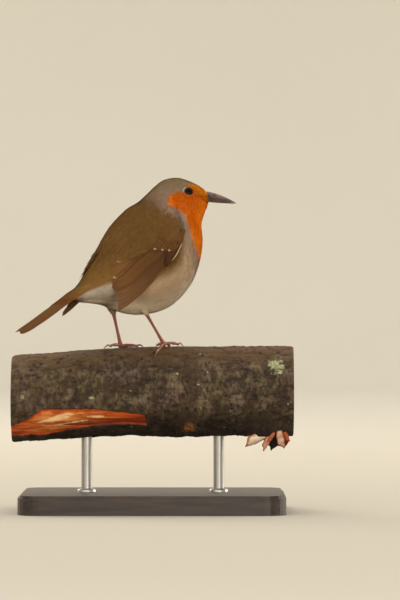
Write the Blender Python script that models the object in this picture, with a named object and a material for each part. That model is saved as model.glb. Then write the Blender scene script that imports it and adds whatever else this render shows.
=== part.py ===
"""A European robin as a life-size museum model: it stands on a cut length of branch, held by a plain stand.

The frame is in metres with +Z up. Its origin is the middle of the base's underside, and +X runs along the
branch. The bird is laid out in millimetres in a frame of its own (forward, left, up), whose origin is on top
of the branch, midway between the feet. It heads away from +X by BODY_HEADING, and its head looks back to the right.
"""

import math

import bmesh
import bpy
from mathutils import Matrix, Vector
from mathutils.bvhtree import BVHTree

MM = 0.001
GAP = 0.3  # between solids that meet, in mm

# Stand, in mm
BASE_LENGTH, BASE_WIDTH, BASE_THICKNESS = 124.0, 96.0, 9.0
BASE_CORNER, BASE_EDGE = 10.0, 1.2
ROD_RADIUS, ROD_SPACING, ROD_SHOWN = 2.5, 62.0, 26.0

# Branch, in mm
BRANCH_RADIUS, BRANCH_LENGTH = 21.0, 132.0
BRANCH_SIDES, BRANCH_RINGS = 34, 16
BRANCH_AXIS = BASE_THICKNESS + ROD_SHOWN + BRANCH_RADIUS
BRANCH_TOP = BRANCH_AXIS + BRANCH_RADIUS
BRANCH_DIP = 3.6  # how far its end under the tail hangs below the middle
SNAG_ALONG, SNAG_TURN, SNAG_HEIGHT = 52.0, -152.0, 3.2  # the stump of a torn side shoot

# The bird's pose: its place along the branch in mm, and angles in degrees
BIRD_ALONG = -6.0
BODY_HEADING, HEAD_TURN = 38.0, -28.0
NECK_PIVOT = 16.2  # forward place of the upright axis that the head turns about

# Sections of the body from the tail's root to the bill's root, in mm:
# (back forward, back up), (belly forward, belly up), half width, share of the head's turn, fullness below
SECTIONS = {
    "tail_root": ((-40.6, 25.6), (-39.8, 21.4), 5.2, 0.0, 0.0),
    "tail_coverts": ((-34.2, 29.2), (-32.2, 20.8), 7.6, 0.0, 0.0),
    "rump": ((-28.2, 35.0), (-19.6, 19.4), 13.2, 0.0, 0.0),
    "loin": ((-22.8, 42.0), (-4.0, 15.2), 19.0, 0.0, 0.05),
    "belly": ((-17.0, 49.8), (10.8, 17.4), 22.0, 0.0, 0.08),
    "trunk": ((-11.2, 57.6), (22.4, 26.2), 22.2, 0.0, 0.08),
    "breast": ((-4.2, 63.8), (29.2, 37.4), 20.2, 0.0, 0.05),
    "shoulder": ((2.2, 68.6), (32.4, 47.6), 17.4, 0.10, 0.0),
    "neck": ((7.0, 72.6), (32.4, 56.4), 14.6, 0.36, 0.0),
    "nape": ((10.6, 76.2), (33.4, 62.4), 12.2, 0.72, 0.06),
    "cheek": ((14.8, 79.0), (34.9, 66.0), 9.9, 0.94, 0.12),
    "brow": ((21.6, 79.9), (35.5, 67.4), 8.7, 1.0, 0.10),
    "lore": ((29.4, 77.2), (35.9, 67.9), 5.8, 1.0, 0.05),
    "bill_root": ((34.4, 74.2), (35.9, 68.5), 2.8, 1.0, 0.0),
}
RINGS_PER_SECTION, RING_SIDES = 3, 24
NECK_CUT, HEAD_CUT = 6.6, 8.6  # where the trunk, neck and head are parted, counted in sections

# Eyes and bill, in mm
EYE_FORWARD, EYE_UP, EYE_RADIUS = 24.7, 73.1, 3.0
EYE_SHOWN = 0.85  # how far the eye stands out of the head
BILL_LENGTH, BILL_DEPTH, BILL_WIDTH = 12.6, 4.6, 4.6
BILL_ROOT = Vector((36.2, 0.0, 70.8))
BILL_DOWN = 9.5  # degrees that the bill points below the level
GAPE_SHARE = 0.42  # share of the bill's depth that is below the gape
HOOK = 0.5  # how far the tip of the upper half curves down

# Folded wings, in mm: the leading edge below and the trailing edge above, from wrist to tip
WING_LOWER = ((14.0, 61.5), (9.8, 53.0), (0.6, 40.8), (-10.6, 30.2), (-20.6, 21.8), (-28.8, 16.0))
WING_UPPER = ((8.0, 65.0), (-3.0, 60.0), (-13.6, 50.0), (-20.9, 40.0), (-26.0, 30.4), (-30.4, 17.0))
WING_LIFT, WING_THICKNESS, WING_TIP_THICKNESS = 1.9, 2.4, 0.9
WING_TIP_OUT = 21.3  # how far the wing's tip stands from the bird's middle
WING_BULGE, WING_CURL = 1.5, 12.0  # how far the wing bows out, and its trailing edge turns in
WING_ROWS, WING_COLUMNS = 26, 8
WING_FEATHER_TIPS = 7  # feather tips that step along the free part of the trailing edge

# Tail, in mm
TAIL_ROOT, TAIL_TIP = Vector((-38.2, 0.0, 25.6)), Vector((-72.2, 0.0, 7.2))
TAIL_HALF_WIDTHS = (4.2, 4.5, 4.7, 4.4, 3.8)  # from root to tip
TAIL_ROOT_THICK, TAIL_TIP_THICK = 1.7, 0.8
TAIL_FEATHERS, TAIL_NOTCH, TAIL_STEP = 12, 1.4, 0.22
TAIL_DROOP = 0.8  # how far the outer feathers are below the middle ones

# Legs, in mm: the foot's place on the branch from the bird's origin, the way it points in degrees,
# and a place inside the belly that the leg heads for
TARSUS_RADIUS, THIGH_RADIUS, THIGH_SHOWN = 0.9, 2.8, 2.4
FEET = {
    "right": {"along": 11.2, "across": -2.8, "heading": 78.0, "hip": (0.4, -11.2, 20.5)},
    "left": {"along": -9.2, "across": 4.2, "heading": 45.0, "hip": (-13.8, 1.0, 22.0)},
}
SIDES = {"right": -1.0, "left": 1.0}
# Toes: angle from the foot's heading towards the outer side, toe length, claw length
TOES = {
    1: (186.0, 7.6, 5.4),
    2: (-33.0, 8.0, 3.4),
    3: (2.0, 11.6, 3.8),
    4: (36.0, 9.2, 3.4),
}
TOE_RADIUS, TOE_TIP_RADIUS, TOE_KNUCKLES, TOE_ARCH = 0.8, 0.6, 3, 0.5
CLAW_RADIUS, CLAW_HUMP = 0.5, 0.9

COLOURS = {
    "back": ((0.22, 0.15, 0.08, 1.0), 0.75),
    "head": ((0.55, 0.20, 0.04, 1.0), 0.75),
    "eye": ((0.010, 0.008, 0.007, 1.0), 0.08),
    "bill": ((0.07, 0.055, 0.05, 1.0), 0.40),
    "leg": ((0.24, 0.11, 0.07, 1.0), 0.55),
    "claw": ((0.11, 0.07, 0.05, 1.0), 0.40),
    "bark": ((0.13, 0.09, 0.06, 1.0), 0.90),
    "board": ((0.035, 0.030, 0.028, 1.0), 0.45),
    "rod": ((0.45, 0.44, 0.42, 1.0), 0.35),
}


def clear_scene():
    for obj in list(bpy.data.objects):
        bpy.data.objects.remove(obj, do_unlink=True)


def material(name):
    """The named finish, made the first time that it is asked for."""
    found = bpy.data.materials.get(name)
    if found:
        return found
    colour, roughness = COLOURS[name]
    made = bpy.data.materials.new(name)
    made.use_nodes = True
    shader = made.node_tree.nodes["Principled BSDF"]
    shader.inputs["Base Color"].default_value = colour
    shader.inputs["Roughness"].default_value = roughness
    shader.inputs["Metallic"].default_value = 1.0 if name == "rod" else 0.0
    made.diffuse_color = colour
    return made


def to_world(forward, left, up):
    """A point of the bird's frame, in mm, as a place in the world, in metres."""
    heading = math.radians(BODY_HEADING)
    x = BIRD_ALONG + forward * math.cos(heading) - left * math.sin(heading)
    y = forward * math.sin(heading) + left * math.cos(heading)
    return Vector((x, y, up + BRANCH_TOP)) * MM


def turned(forward, left, up, share):
    """A point of the bird's frame turned with the head, by this share of the head's turn."""
    angle = math.radians(HEAD_TURN) * share
    reach = forward - NECK_PIVOT
    return (
        NECK_PIVOT + reach * math.cos(angle) - left * math.sin(angle),
        reach * math.sin(angle) + left * math.cos(angle),
        up,
    )


def eased(values, place):
    """A smooth curve through evenly spaced values, read at a place counted in values."""
    last = len(values) - 1
    i = min(max(int(place), 0), last - 1)
    t = place - i
    before, a, b, after = (values[min(max(k, 0), last)] for k in (i - 1, i, i + 1, i + 2))
    return 0.5 * (
        2 * a
        + (b - before) * t
        + (2 * before - 5 * a + 4 * b - after) * t**2
        + (3 * a - before - 3 * b + after) * t**3
    )


def section(place):
    """The body's section at this place: back, belly, half width, share of the turn and fullness below."""
    rows = [(*back, *belly, half, share, full) for back, belly, half, share, full in SECTIONS.values()]
    numbers = [eased(column, place) for column in zip(*rows)]
    return Vector(numbers[0:2]), Vector(numbers[2:4]), *numbers[4:]


def body_point(place, angle):
    """A point of the body's surface. The angle is 0 at the back and half a turn at the belly."""
    back, belly, half_width, share, full = section(place)
    middle, half_chord = (back + belly) / 2, (back - belly) / 2
    along = math.cos(angle) - full * math.sin(angle) ** 2
    spot = middle + half_chord * along
    return Vector(turned(spot.x, half_width * math.sin(angle), spot.y, share))


def new_object(name, mesh_data, finish, smooth_below=40.0):
    """An object of this name from a bmesh, with its normals facing out."""
    bmesh.ops.recalc_face_normals(mesh_data, faces=mesh_data.faces)
    mesh = bpy.data.meshes.new(name)
    mesh_data.to_mesh(mesh)
    mesh_data.free()
    mesh.shade_smooth()
    mesh.set_sharp_from_angle(angle=math.radians(smooth_below))
    obj = bpy.data.objects.new(name, mesh)
    bpy.context.scene.collection.objects.link(obj)
    mesh.materials.append(material(finish))
    return obj


def lofted(rings):
    """A closed bmesh through rings of points, each ring with the same number of points, capped at both ends."""
    made = bmesh.new()
    rows = [[made.verts.new(point) for point in ring] for ring in rings]
    count = len(rows[0])
    for lower, upper in zip(rows, rows[1:]):
        for i in range(count):
            j = (i + 1) % count
            made.faces.new((lower[i], lower[j], upper[j], upper[i]))
    made.faces.new(list(reversed(rows[0])))
    made.faces.new(rows[-1])
    return made


def tube_rings(path, radii, sides):
    """Rings of points round a path, square to it."""
    rings = []
    side = None
    for i, (spot, radius) in enumerate(zip(path, radii)):
        along = (path[min(i + 1, len(path) - 1)] - path[max(i - 1, 0)]).normalized()
        if side is None:
            side = along.orthogonal().normalized()
        side = (side - along * side.dot(along)).normalized()
        other = along.cross(side)
        turns = [2 * math.pi * k / sides for k in range(sides)]
        rings.append([spot + (side * math.cos(t) + other * math.sin(t)) * radius for t in turns])
    return rings


def cut_away(obj, cutter, how="DIFFERENCE"):
    """Gives obj a Boolean with a hidden cutter."""
    cutter.hide_render = True
    cutter.display_type = "WIRE"
    modifier = obj.modifiers.new(how.lower() + "_" + cutter.name, "BOOLEAN")
    modifier.object = cutter
    modifier.operation = how
    modifier.solver = "EXACT"
    return modifier


def grown_copy(obj, name, by):
    """A hidden copy of obj, grown along its normals, for cutting a neighbour with a gap."""
    made = bmesh.new()
    made.from_mesh(obj.data)
    bmesh.ops.recalc_face_normals(made, faces=made.faces)
    made.normal_update()
    for vertex in made.verts:
        vertex.co += vertex.normal * by * MM
    copy = new_object(name, made, "board")
    copy.hide_render = True
    copy.display_type = "WIRE"
    return copy


def body_rings():
    count = (len(SECTIONS) - 1) * RINGS_PER_SECTION
    places = [i / RINGS_PER_SECTION for i in range(count + 1)]
    turns = [2 * math.pi * (k + 0.5) / RING_SIDES for k in range(RING_SIDES)]
    return [[to_world(*body_point(place, turn)) for turn in turns] for place in places]


def body_plane(place):
    """The plane of the body's section at this place, as a point and the normal towards the bill."""
    back, belly, left = (to_world(*body_point(place, turn)) for turn in (0.0, math.pi, math.pi / 2))
    middle = (back + belly) / 2
    return middle, (left - middle).cross(back - belly).normalized()


def keep_side(mesh_data, point, normal, ahead):
    """Cuts a bmesh by a plane half a gap from the point, keeps one side and closes it."""
    clear = GAP / 2 * MM * (1 if ahead else -1)
    faces = mesh_data.verts[:] + mesh_data.edges[:] + mesh_data.faces[:]
    cut = bmesh.ops.bisect_plane(
        mesh_data,
        geom=faces,
        plane_co=point + normal * clear,
        plane_no=normal,
        clear_inner=ahead,
        clear_outer=not ahead,
    )
    rim = [e for e in cut["geom_cut"] if isinstance(e, bmesh.types.BMEdge)]
    bmesh.ops.holes_fill(mesh_data, edges=rim, sides=0)


def make_body():
    """Trunk, neck and head: one form, parted by thin cuts."""
    rings = body_rings()
    neck, head = body_plane(NECK_CUT), body_plane(HEAD_CUT)
    parts = {
        "trunk": [(neck, False)],
        "neck": [(neck, True), (head, False)],
        "head": [(head, True)],
    }
    made = {}
    for name, cuts in parts.items():
        whole = lofted(rings)
        bmesh.ops.recalc_face_normals(whole, faces=whole.faces)
        for (point, normal), ahead in cuts:
            keep_side(whole, point, normal, ahead)
        made[name] = new_object(name, whole, "head" if name == "head" else "back")
    return made


def make_eyes(head, tree):
    for side, sign in SIDES.items():
        start = Vector(turned(EYE_FORWARD, sign * 80.0, EYE_UP, 1.0))
        middle = Vector(turned(EYE_FORWARD, 0.0, EYE_UP, 1.0))
        spot, out = tree.ray_cast(start, middle - start)[0:2]
        out = out if out.dot(start - middle) > 0 else -out
        centre = to_world(*(spot - out * (EYE_RADIUS - EYE_SHOWN)))
        for name, radius in ((f"eye_{side}", EYE_RADIUS), (f"socket_{side}", EYE_RADIUS + GAP)):
            ball = bmesh.new()
            bmesh.ops.create_uvsphere(ball, u_segments=16, v_segments=10, radius=radius * MM)
            obj = new_object(name, ball, "eye")
            obj.location = centre
        cut_away(head, bpy.data.objects[f"socket_{side}"])


def bill_half(name, upper):
    """One half of the bill: a tapered form, flat along the gape and rounded outside."""
    steps, arc_points = 10, 7
    length = BILL_LENGTH if upper else BILL_LENGTH * 0.93
    depth = BILL_DEPTH * (1 - GAPE_SHARE if upper else GAPE_SHARE)
    sign = 1 if upper else -1
    down = Matrix.Rotation(math.radians(BILL_DOWN), 3, "Y")
    floor = BILL_DEPTH * (GAPE_SHARE - 0.5) + sign * GAP / 2
    rings = []
    for i in range(steps + 1):
        along = i / steps
        taper = (1 - along**1.7) * 0.93 + 0.07
        half_width = BILL_WIDTH / 2 * ((1 - along**0.9) * 0.92 + 0.08)
        drop = HOOK * along**3
        ring = []
        for k in range(arc_points):
            turn = math.pi * k / (arc_points - 1)
            height = sign * (depth - GAP / 2) * taper * math.sin(turn)
            spot = down @ Vector((length * along, half_width * math.cos(turn), floor - drop + height))
            ring.append(to_world(*turned(*(BILL_ROOT + spot), 1.0)))
        rings.append(ring)
    return new_object(name, lofted(rings), "bill", smooth_below=50.0)


def wing_outline(row):
    """The lower and upper edge of the folded wing, forward and up, from 0 at the wrist to 1 at the tip."""
    place = row * (len(WING_LOWER) - 1)
    lower = Vector([eased(column, place) for column in zip(*WING_LOWER)])
    upper = Vector([eased(column, place) for column in zip(*WING_UPPER)])
    free = max(0.0, (row - 0.42) / 0.58)
    scallop = abs(math.sin(math.pi * WING_FEATHER_TIPS * free)) * 0.9 * math.sin(math.pi * free)
    away = (upper - lower).normalized() if (upper - lower).length > 0.5 else Vector((-0.5, 0.8))
    return lower, upper + away * (scallop - 0.45 * min(free * 4, 1.0) * (1 - row))


def body_reach(tree, forward, up, sign):
    """How far the trunk reaches to one side at this place, or None beside it."""
    start = Vector((forward, sign * 80.0, up))
    hit = tree.ray_cast(start, Vector((0.0, -sign, 0.0)))[0]
    return None if hit is None else abs(hit.y)


def body_tree():
    """The body's surface in the bird's own frame, for measuring to it."""
    places = [i / RINGS_PER_SECTION for i in range((len(SECTIONS) - 1) * RINGS_PER_SECTION + 1)]
    turns = [2 * math.pi * (k + 0.5) / RING_SIDES for k in range(RING_SIDES)]
    points = [body_point(place, turn) for place in places for turn in turns]
    faces = []
    for i in range(len(places) - 1):
        for k in range(RING_SIDES):
            j = (k + 1) % RING_SIDES
            faces.append((i * RING_SIDES + k, i * RING_SIDES + j, (i + 1) * RING_SIDES + j, (i + 1) * RING_SIDES + k))
    return BVHTree.FromPolygons(points, faces)


def make_wing(side, sign, tree):
    """A folded wing: a curved plate that lies on the body's side and runs free past it."""
    outer, inner = [], []
    for i in range(WING_ROWS + 1):
        row = i / WING_ROWS
        lower, upper = wing_outline(row)
        thick = WING_THICKNESS + (WING_TIP_THICKNESS - WING_THICKNESS) * row
        for k in range(WING_COLUMNS + 1):
            across = k / WING_COLUMNS
            spot = lower.lerp(upper, across)
            free = WING_TIP_OUT + WING_BULGE * math.sin(math.pi * row) - WING_CURL * across**2 * (1 - row**6)
            reach = body_reach(tree, spot.x, spot.y, sign)
            rim = min(across, 1 - across, 0.2) / 0.2
            lift = WING_LIFT * (0.62 + 0.38 * math.sin(rim * math.pi / 2))
            out = free if reach is None else max(free * min(1.0, row * 1.6), reach + lift)
            if reach is None:
                inside = out - thick
            else:
                inside = max(reach + GAP + 0.3, out - thick)
            outer.append(to_world(spot.x, sign * out, spot.y))
            inner.append(to_world(spot.x, sign * inside, spot.y))
    made = bmesh.new()
    tops = [made.verts.new(p) for p in outer]
    backs = [made.verts.new(p) for p in inner]
    across_count = WING_COLUMNS + 1

    def at(i, k):
        return i * across_count + k

    for i in range(WING_ROWS):
        for k in range(WING_COLUMNS):
            cell = (at(i, k), at(i + 1, k), at(i + 1, k + 1), at(i, k + 1))
            made.faces.new([tops[n] for n in cell])
            made.faces.new([backs[n] for n in reversed(cell)])
    rim = [at(i, 0) for i in range(WING_ROWS)]
    rim += [at(WING_ROWS, k) for k in range(WING_COLUMNS)]
    rim += [at(i, WING_COLUMNS) for i in range(WING_ROWS, 0, -1)]
    rim += [at(0, k) for k in range(WING_COLUMNS, 0, -1)]
    for here, there in zip(rim, rim[1:] + rim[:1]):
        made.faces.new((tops[here], backs[here], backs[there], tops[there]))
    return new_object(f"wing_{side}", made, "back")


def make_tail(trunk_cutter):
    """The closed tail: feathers that overlap like tiles from the middle outwards, with a shallow notch."""
    steps, per_feather = 6, 2
    along = (TAIL_TIP - TAIL_ROOT).normalized()
    above = Vector((-along.z, 0.0, along.x)) * -1
    length = (TAIL_TIP - TAIL_ROOT).length
    columns = TAIL_FEATHERS * per_feather
    tops, backs = [], []
    made = bmesh.new()
    for i in range(steps + 1):
        for k in range(columns + 1):
            across = 2 * k / columns - 1
            phase = (k % per_feather) / per_feather
            tip = 1 - TAIL_NOTCH / length * (1 - abs(across) ** 1.5)
            tip -= 0.8 / length * (2 * phase - 0.7) ** 2
            reach = i / steps * tip
            half = eased(TAIL_HALF_WIDTHS, reach * (len(TAIL_HALF_WIDTHS) - 1))
            thick = TAIL_ROOT_THICK + (TAIL_TIP_THICK - TAIL_ROOT_THICK) * reach
            droop = TAIL_DROOP * across**2
            tile = TAIL_STEP * (phase if across > 0 else 1 - phase) * min(1.0, reach * 3)
            spot = TAIL_ROOT + along * reach * length
            spot = Vector((spot.x, across * half, spot.z)) - above * droop
            tops.append(made.verts.new(to_world(*(spot + above * (thick / 2 + tile)))))
            backs.append(made.verts.new(to_world(*(spot - above * thick / 2))))
    count = columns + 1
    for i in range(steps):
        for k in range(columns):
            cell = (i * count + k, (i + 1) * count + k, (i + 1) * count + k + 1, i * count + k + 1)
            made.faces.new([tops[n] for n in cell])
            made.faces.new([backs[n] for n in reversed(cell)])
    rim = [i * count for i in range(steps)] + [steps * count + k for k in range(columns)]
    rim += [i * count + columns for i in range(steps, 0, -1)] + list(range(columns, 0, -1))
    for here, there in zip(rim, rim[1:] + rim[:1]):
        made.faces.new((tops[here], backs[here], backs[there], tops[there]))
    tail = new_object("tail", made, "back")
    cut_away(tail, trunk_cutter)


def branch_radius(along, turn):
    """The branch's radius in mm, a little uneven along and round it. The turn is 0 on top."""
    swell = 0.018 * math.sin(along / 17.0 + 0.6) + 0.010 * math.sin(along / 7.3 + 2 * turn)
    flats = 0.016 * math.sin(3 * turn + 1.1) + 0.010 * math.sin(5 * turn + along / 21.0)
    calm = 1 - 0.8 * math.exp(-((turn / 0.9) ** 2))
    taper = 1 + 0.00032 * along
    snag = SNAG_HEIGHT * math.exp(-(((along - SNAG_ALONG) / 6.0) ** 2 + ((turn - math.radians(SNAG_TURN)) / 0.26) ** 2))
    return BRANCH_RADIUS * (taper + (swell + flats) * calm) + snag


def branch_axis(along):
    """The height of the branch's axis: it dips towards the end under the tail."""
    behind = max(0.0, -along - 8.0) / (BRANCH_LENGTH / 2 - 8.0)
    return BRANCH_AXIS - BRANCH_DIP * behind**1.3


def on_branch(along, turn, above):
    """A place this far above the bark, in metres."""
    radius = branch_radius(along, turn) + above
    return Vector((along, radius * math.sin(turn), branch_axis(along) + radius * math.cos(turn))) * MM


def make_branch():
    rings = []
    for i in range(BRANCH_RINGS):
        along = (i / (BRANCH_RINGS - 1) - 0.5) * BRANCH_LENGTH
        turns = [2 * math.pi * k / BRANCH_SIDES - math.pi for k in range(BRANCH_SIDES)]
        rings.append([on_branch(along, turn, 0.0) for turn in turns])
    return new_object("perch_branch", lofted(rings), "bark")


def toe_path(foot, angle, start, end, height, steps):
    """Points along a toe on the branch's top, each this high above the bark."""
    way = math.radians(angle)
    first = math.asin(foot["across"] / BRANCH_RADIUS)
    points = []
    for i in range(steps + 1):
        share = i / steps
        reach = start + (end - start) * share
        turn = first + reach * math.sin(way) / BRANCH_RADIUS
        points.append(on_branch(BIRD_ALONG + foot["along"] + reach * math.cos(way), turn, height(share)))
    return points


def make_leg(side, sign, foot, trunk_cutter):
    """The bare leg with its toes, the claws and the feathered thigh's end that shows below the belly."""
    palm_height = GAP + 1.25
    palm = toe_path(foot, 0.0, 0.0, 0.1, lambda share: palm_height, 1)[0]
    hip = (Vector(foot["hip"]) + Vector((BIRD_ALONG, 0.0, BRANCH_TOP))) * MM
    steps = 6
    path = [palm.lerp(hip, i / steps) for i in range(steps + 1)]
    radii = [TARSUS_RADIUS * MM * (1.25 - 0.4 * math.sin(math.pi * min(i / steps * 1.3, 1))) for i in range(steps + 1)]
    leg = new_object(f"leg_{side}", lofted(tube_rings(path, radii, 10)), "leg")
    for number, (spread, length, claw_length) in TOES.items():
        angle = foot["heading"] + sign * spread

        def toe_height(share):
            return GAP + TOE_RADIUS + TOE_ARCH * math.sin(math.pi * share)

        count = 7
        points = toe_path(foot, angle, 0.0, length, toe_height, count)
        widths = []
        for i in range(count + 1):
            share = i / count
            knuckle = 1 + 0.10 * math.cos(2 * math.pi * TOE_KNUCKLES * share)
            widths.append((TOE_RADIUS + (TOE_TIP_RADIUS - TOE_RADIUS) * share) * knuckle * MM)
        toe = new_object(f"toe_form_{side}_{number}", lofted(tube_rings(points, widths, 8)), "leg")
        cut_away(leg, toe, "UNION")

        def claw_height(share):
            level = GAP + TOE_RADIUS + CLAW_HUMP * math.sin(math.pi * min(share * 1.25, 1.0)) * (1 - 0.35 * share)
            return level - (TOE_RADIUS - 0.25) * share**2

        points = toe_path(foot, angle, length + GAP, length + GAP + claw_length, claw_height, 6)
        widths = [CLAW_RADIUS * MM * (1 - 0.86 * (i / 6) ** 1.3) for i in range(7)]
        new_object(f"claw_{side}_{number}", lofted(tube_rings(points, widths, 7)), "claw")
    make_thigh(side, leg, palm, hip, trunk_cutter)


def make_thigh(side, leg, palm, hip, trunk_cutter):
    """A short feathered cone round the top of the leg, cut by the trunk. The leg stops below it."""
    tree = BVHTree.FromObject(trunk_cutter, bpy.context.evaluated_depsgraph_get())
    up = (hip - palm).normalized()
    entry = tree.ray_cast(palm, up)[0]
    end = entry - up * THIGH_SHOWN * MM
    path = [end, end.lerp(entry, 0.5), entry, entry + up * 2.5 * MM]
    radii = [TARSUS_RADIUS * 1.5 * MM, THIGH_RADIUS * 0.72 * MM, THIGH_RADIUS * MM, THIGH_RADIUS * 1.1 * MM]
    thigh = new_object(f"thigh_{side}", lofted(tube_rings(path, radii, 14)), "back")
    cut_away(thigh, trunk_cutter)
    stop = end - up * GAP * MM
    box = bmesh.new()
    bmesh.ops.create_cube(box, size=0.03)
    blocker = new_object(f"leg_stop_{side}", box, "board")
    blocker.rotation_euler = up.to_track_quat("Z", "Y").to_euler()
    blocker.location = stop + up * 0.015
    cut_away(leg, blocker)


def make_stand():
    """A flat board with rounded corners, and two rods up to the branch."""
    board = bmesh.new()
    corners = []
    quarter = 6
    for cx, cy, first in ((1, 1, 0), (-1, 1, 90), (-1, -1, 180), (1, -1, 270)):
        centre = Vector((cx * (BASE_LENGTH / 2 - BASE_CORNER), cy * (BASE_WIDTH / 2 - BASE_CORNER)))
        for k in range(quarter + 1):
            turn = math.radians(first + 90 * k / quarter)
            corners.append(centre + Vector((math.cos(turn), math.sin(turn))) * BASE_CORNER)
    foot = [board.verts.new((p.x * MM, p.y * MM, 0.0)) for p in corners]
    face = board.faces.new(foot)
    raised = bmesh.ops.extrude_face_region(board, geom=[face])
    tops = [v for v in raised["geom"] if isinstance(v, bmesh.types.BMVert)]
    bmesh.ops.translate(board, verts=tops, vec=(0, 0, BASE_THICKNESS * MM))
    top_edges = [e for e in board.edges if all(v.co.z > BASE_THICKNESS / 2 * MM for v in e.verts)]
    bmesh.ops.bevel(board, geom=top_edges, offset=BASE_EDGE * MM, segments=2, affect="EDGES")
    base = new_object("stand_base", board, "board")
    for number, sign in ((1, -1), (2, 1)):
        x = sign * ROD_SPACING / 2
        under = branch_axis(x) - branch_radius(x, math.pi)
        path = [Vector((x, 0, z)) * MM for z in (BASE_THICKNESS + GAP, under + 1.5)]
        rod = new_object(f"stand_rod_{number}", lofted(tube_rings(path, [ROD_RADIUS * MM] * 2, 20)), "rod")
        cut_away(rod, bpy.data.objects["branch_cutter"])
    return base


def main():
    clear_scene()
    body = make_body()
    tree = body_tree()
    make_eyes(body["head"], tree)
    bill_half("bill_upper", True)
    bill_half("bill_lower", False)
    for side, sign in SIDES.items():
        make_wing(side, sign, tree)
    trunk_cutter = grown_copy(body["trunk"], "trunk_cutter", GAP)
    make_tail(trunk_cutter)
    branch = make_branch()
    grown_copy(branch, "branch_cutter", GAP)
    for side, sign in SIDES.items():
        make_leg(side, sign, FEET[side], trunk_cutter)
    make_stand()


main()
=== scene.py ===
import math

import bpy
import numpy as np
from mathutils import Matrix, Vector, kdtree, noise
from mathutils.bvhtree import BVHTree


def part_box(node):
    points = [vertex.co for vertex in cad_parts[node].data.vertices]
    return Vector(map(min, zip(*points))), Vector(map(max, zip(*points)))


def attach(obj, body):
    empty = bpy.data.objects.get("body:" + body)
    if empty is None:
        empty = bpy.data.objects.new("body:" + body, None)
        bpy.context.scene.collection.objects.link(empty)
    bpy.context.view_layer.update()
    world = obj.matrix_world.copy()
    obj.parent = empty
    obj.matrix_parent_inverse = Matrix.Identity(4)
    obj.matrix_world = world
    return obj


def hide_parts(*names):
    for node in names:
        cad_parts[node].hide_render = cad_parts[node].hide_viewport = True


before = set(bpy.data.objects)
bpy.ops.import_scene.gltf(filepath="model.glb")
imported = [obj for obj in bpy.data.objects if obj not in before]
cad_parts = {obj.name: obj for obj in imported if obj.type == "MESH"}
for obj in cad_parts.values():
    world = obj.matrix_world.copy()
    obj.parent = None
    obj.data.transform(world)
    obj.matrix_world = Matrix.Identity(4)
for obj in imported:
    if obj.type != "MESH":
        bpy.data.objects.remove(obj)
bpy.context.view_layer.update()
mm = 0.001
print("frame loaded")


# placing: the bird's own frame is forward, left, up in mm, from the top of the branch between the feet
pose = {"along": -6.0, "branchTop": 77.0, "heading": 38.0, "headTurn": -28.0, "neckPivot": 16.2}


def toWorldWay(ways):
    c, s = math.cos(math.radians(pose["heading"])), math.sin(math.radians(pose["heading"]))
    f, l, u = ways[..., 0], ways[..., 1], ways[..., 2]
    return np.stack([f * c - l * s, f * s + l * c, u], -1)


def toWorld(points):
    return (toWorldWay(points) + np.array([pose["along"], 0.0, pose["branchTop"]])) * mm


def toBird(points):
    c, s = math.cos(math.radians(pose["heading"])), math.sin(math.radians(pose["heading"]))
    p = np.asarray(points) / mm - np.array([pose["along"], 0.0, pose["branchTop"]])
    return np.stack([p[..., 0] * c + p[..., 1] * s, p[..., 1] * c - p[..., 0] * s, p[..., 2]], -1)


def turnHead(points, share):
    angle = math.radians(pose["headTurn"]) * share
    reach = points[..., 0] - pose["neckPivot"]
    f = pose["neckPivot"] + reach * np.cos(angle) - points[..., 1] * np.sin(angle)
    return np.stack([f, reach * np.sin(angle) + points[..., 1] * np.cos(angle), points[..., 2]], -1)


def unit(ways):
    return ways / np.maximum(np.linalg.norm(ways, axis=-1, keepdims=True), 1e-9)


def smooth(value, low, high):
    t = np.clip((value - low) / (high - low), 0.0, 1.0)
    return t * t * (3 - 2 * t)


def bell(value, middle, spread):
    return np.exp(-(((value - middle) / spread) ** 2))


# a colour code as linear values
def tone(code):
    parts = [int(code[i : i + 2], 16) / 255 for i in (1, 3, 5)]
    return tuple((c / 12.92 if c <= 0.04045 else ((c + 0.055) / 1.055) ** 2.4) for c in parts) + (1.0,)


class Wire:
    def __init__(self, finish, socket):
        self.finish, self.socket = finish, socket

    def sum(self, operation, other, swapped=False):
        first, second = (other, self) if swapped else (self, other)
        return self.finish.node("ShaderNodeMath", {"operation": operation}, {0: first, 1: second})

    def __add__(self, other):
        return self.sum("ADD", other)

    def __sub__(self, other):
        return self.sum("SUBTRACT", other)

    def __mul__(self, other):
        return self.sum("MULTIPLY", other)

    def __radd__(self, other):
        return self.sum("ADD", other, True)

    def __rsub__(self, other):
        return self.sum("SUBTRACT", other, True)

    def __rmul__(self, other):
        return self.sum("MULTIPLY", other, True)


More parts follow.
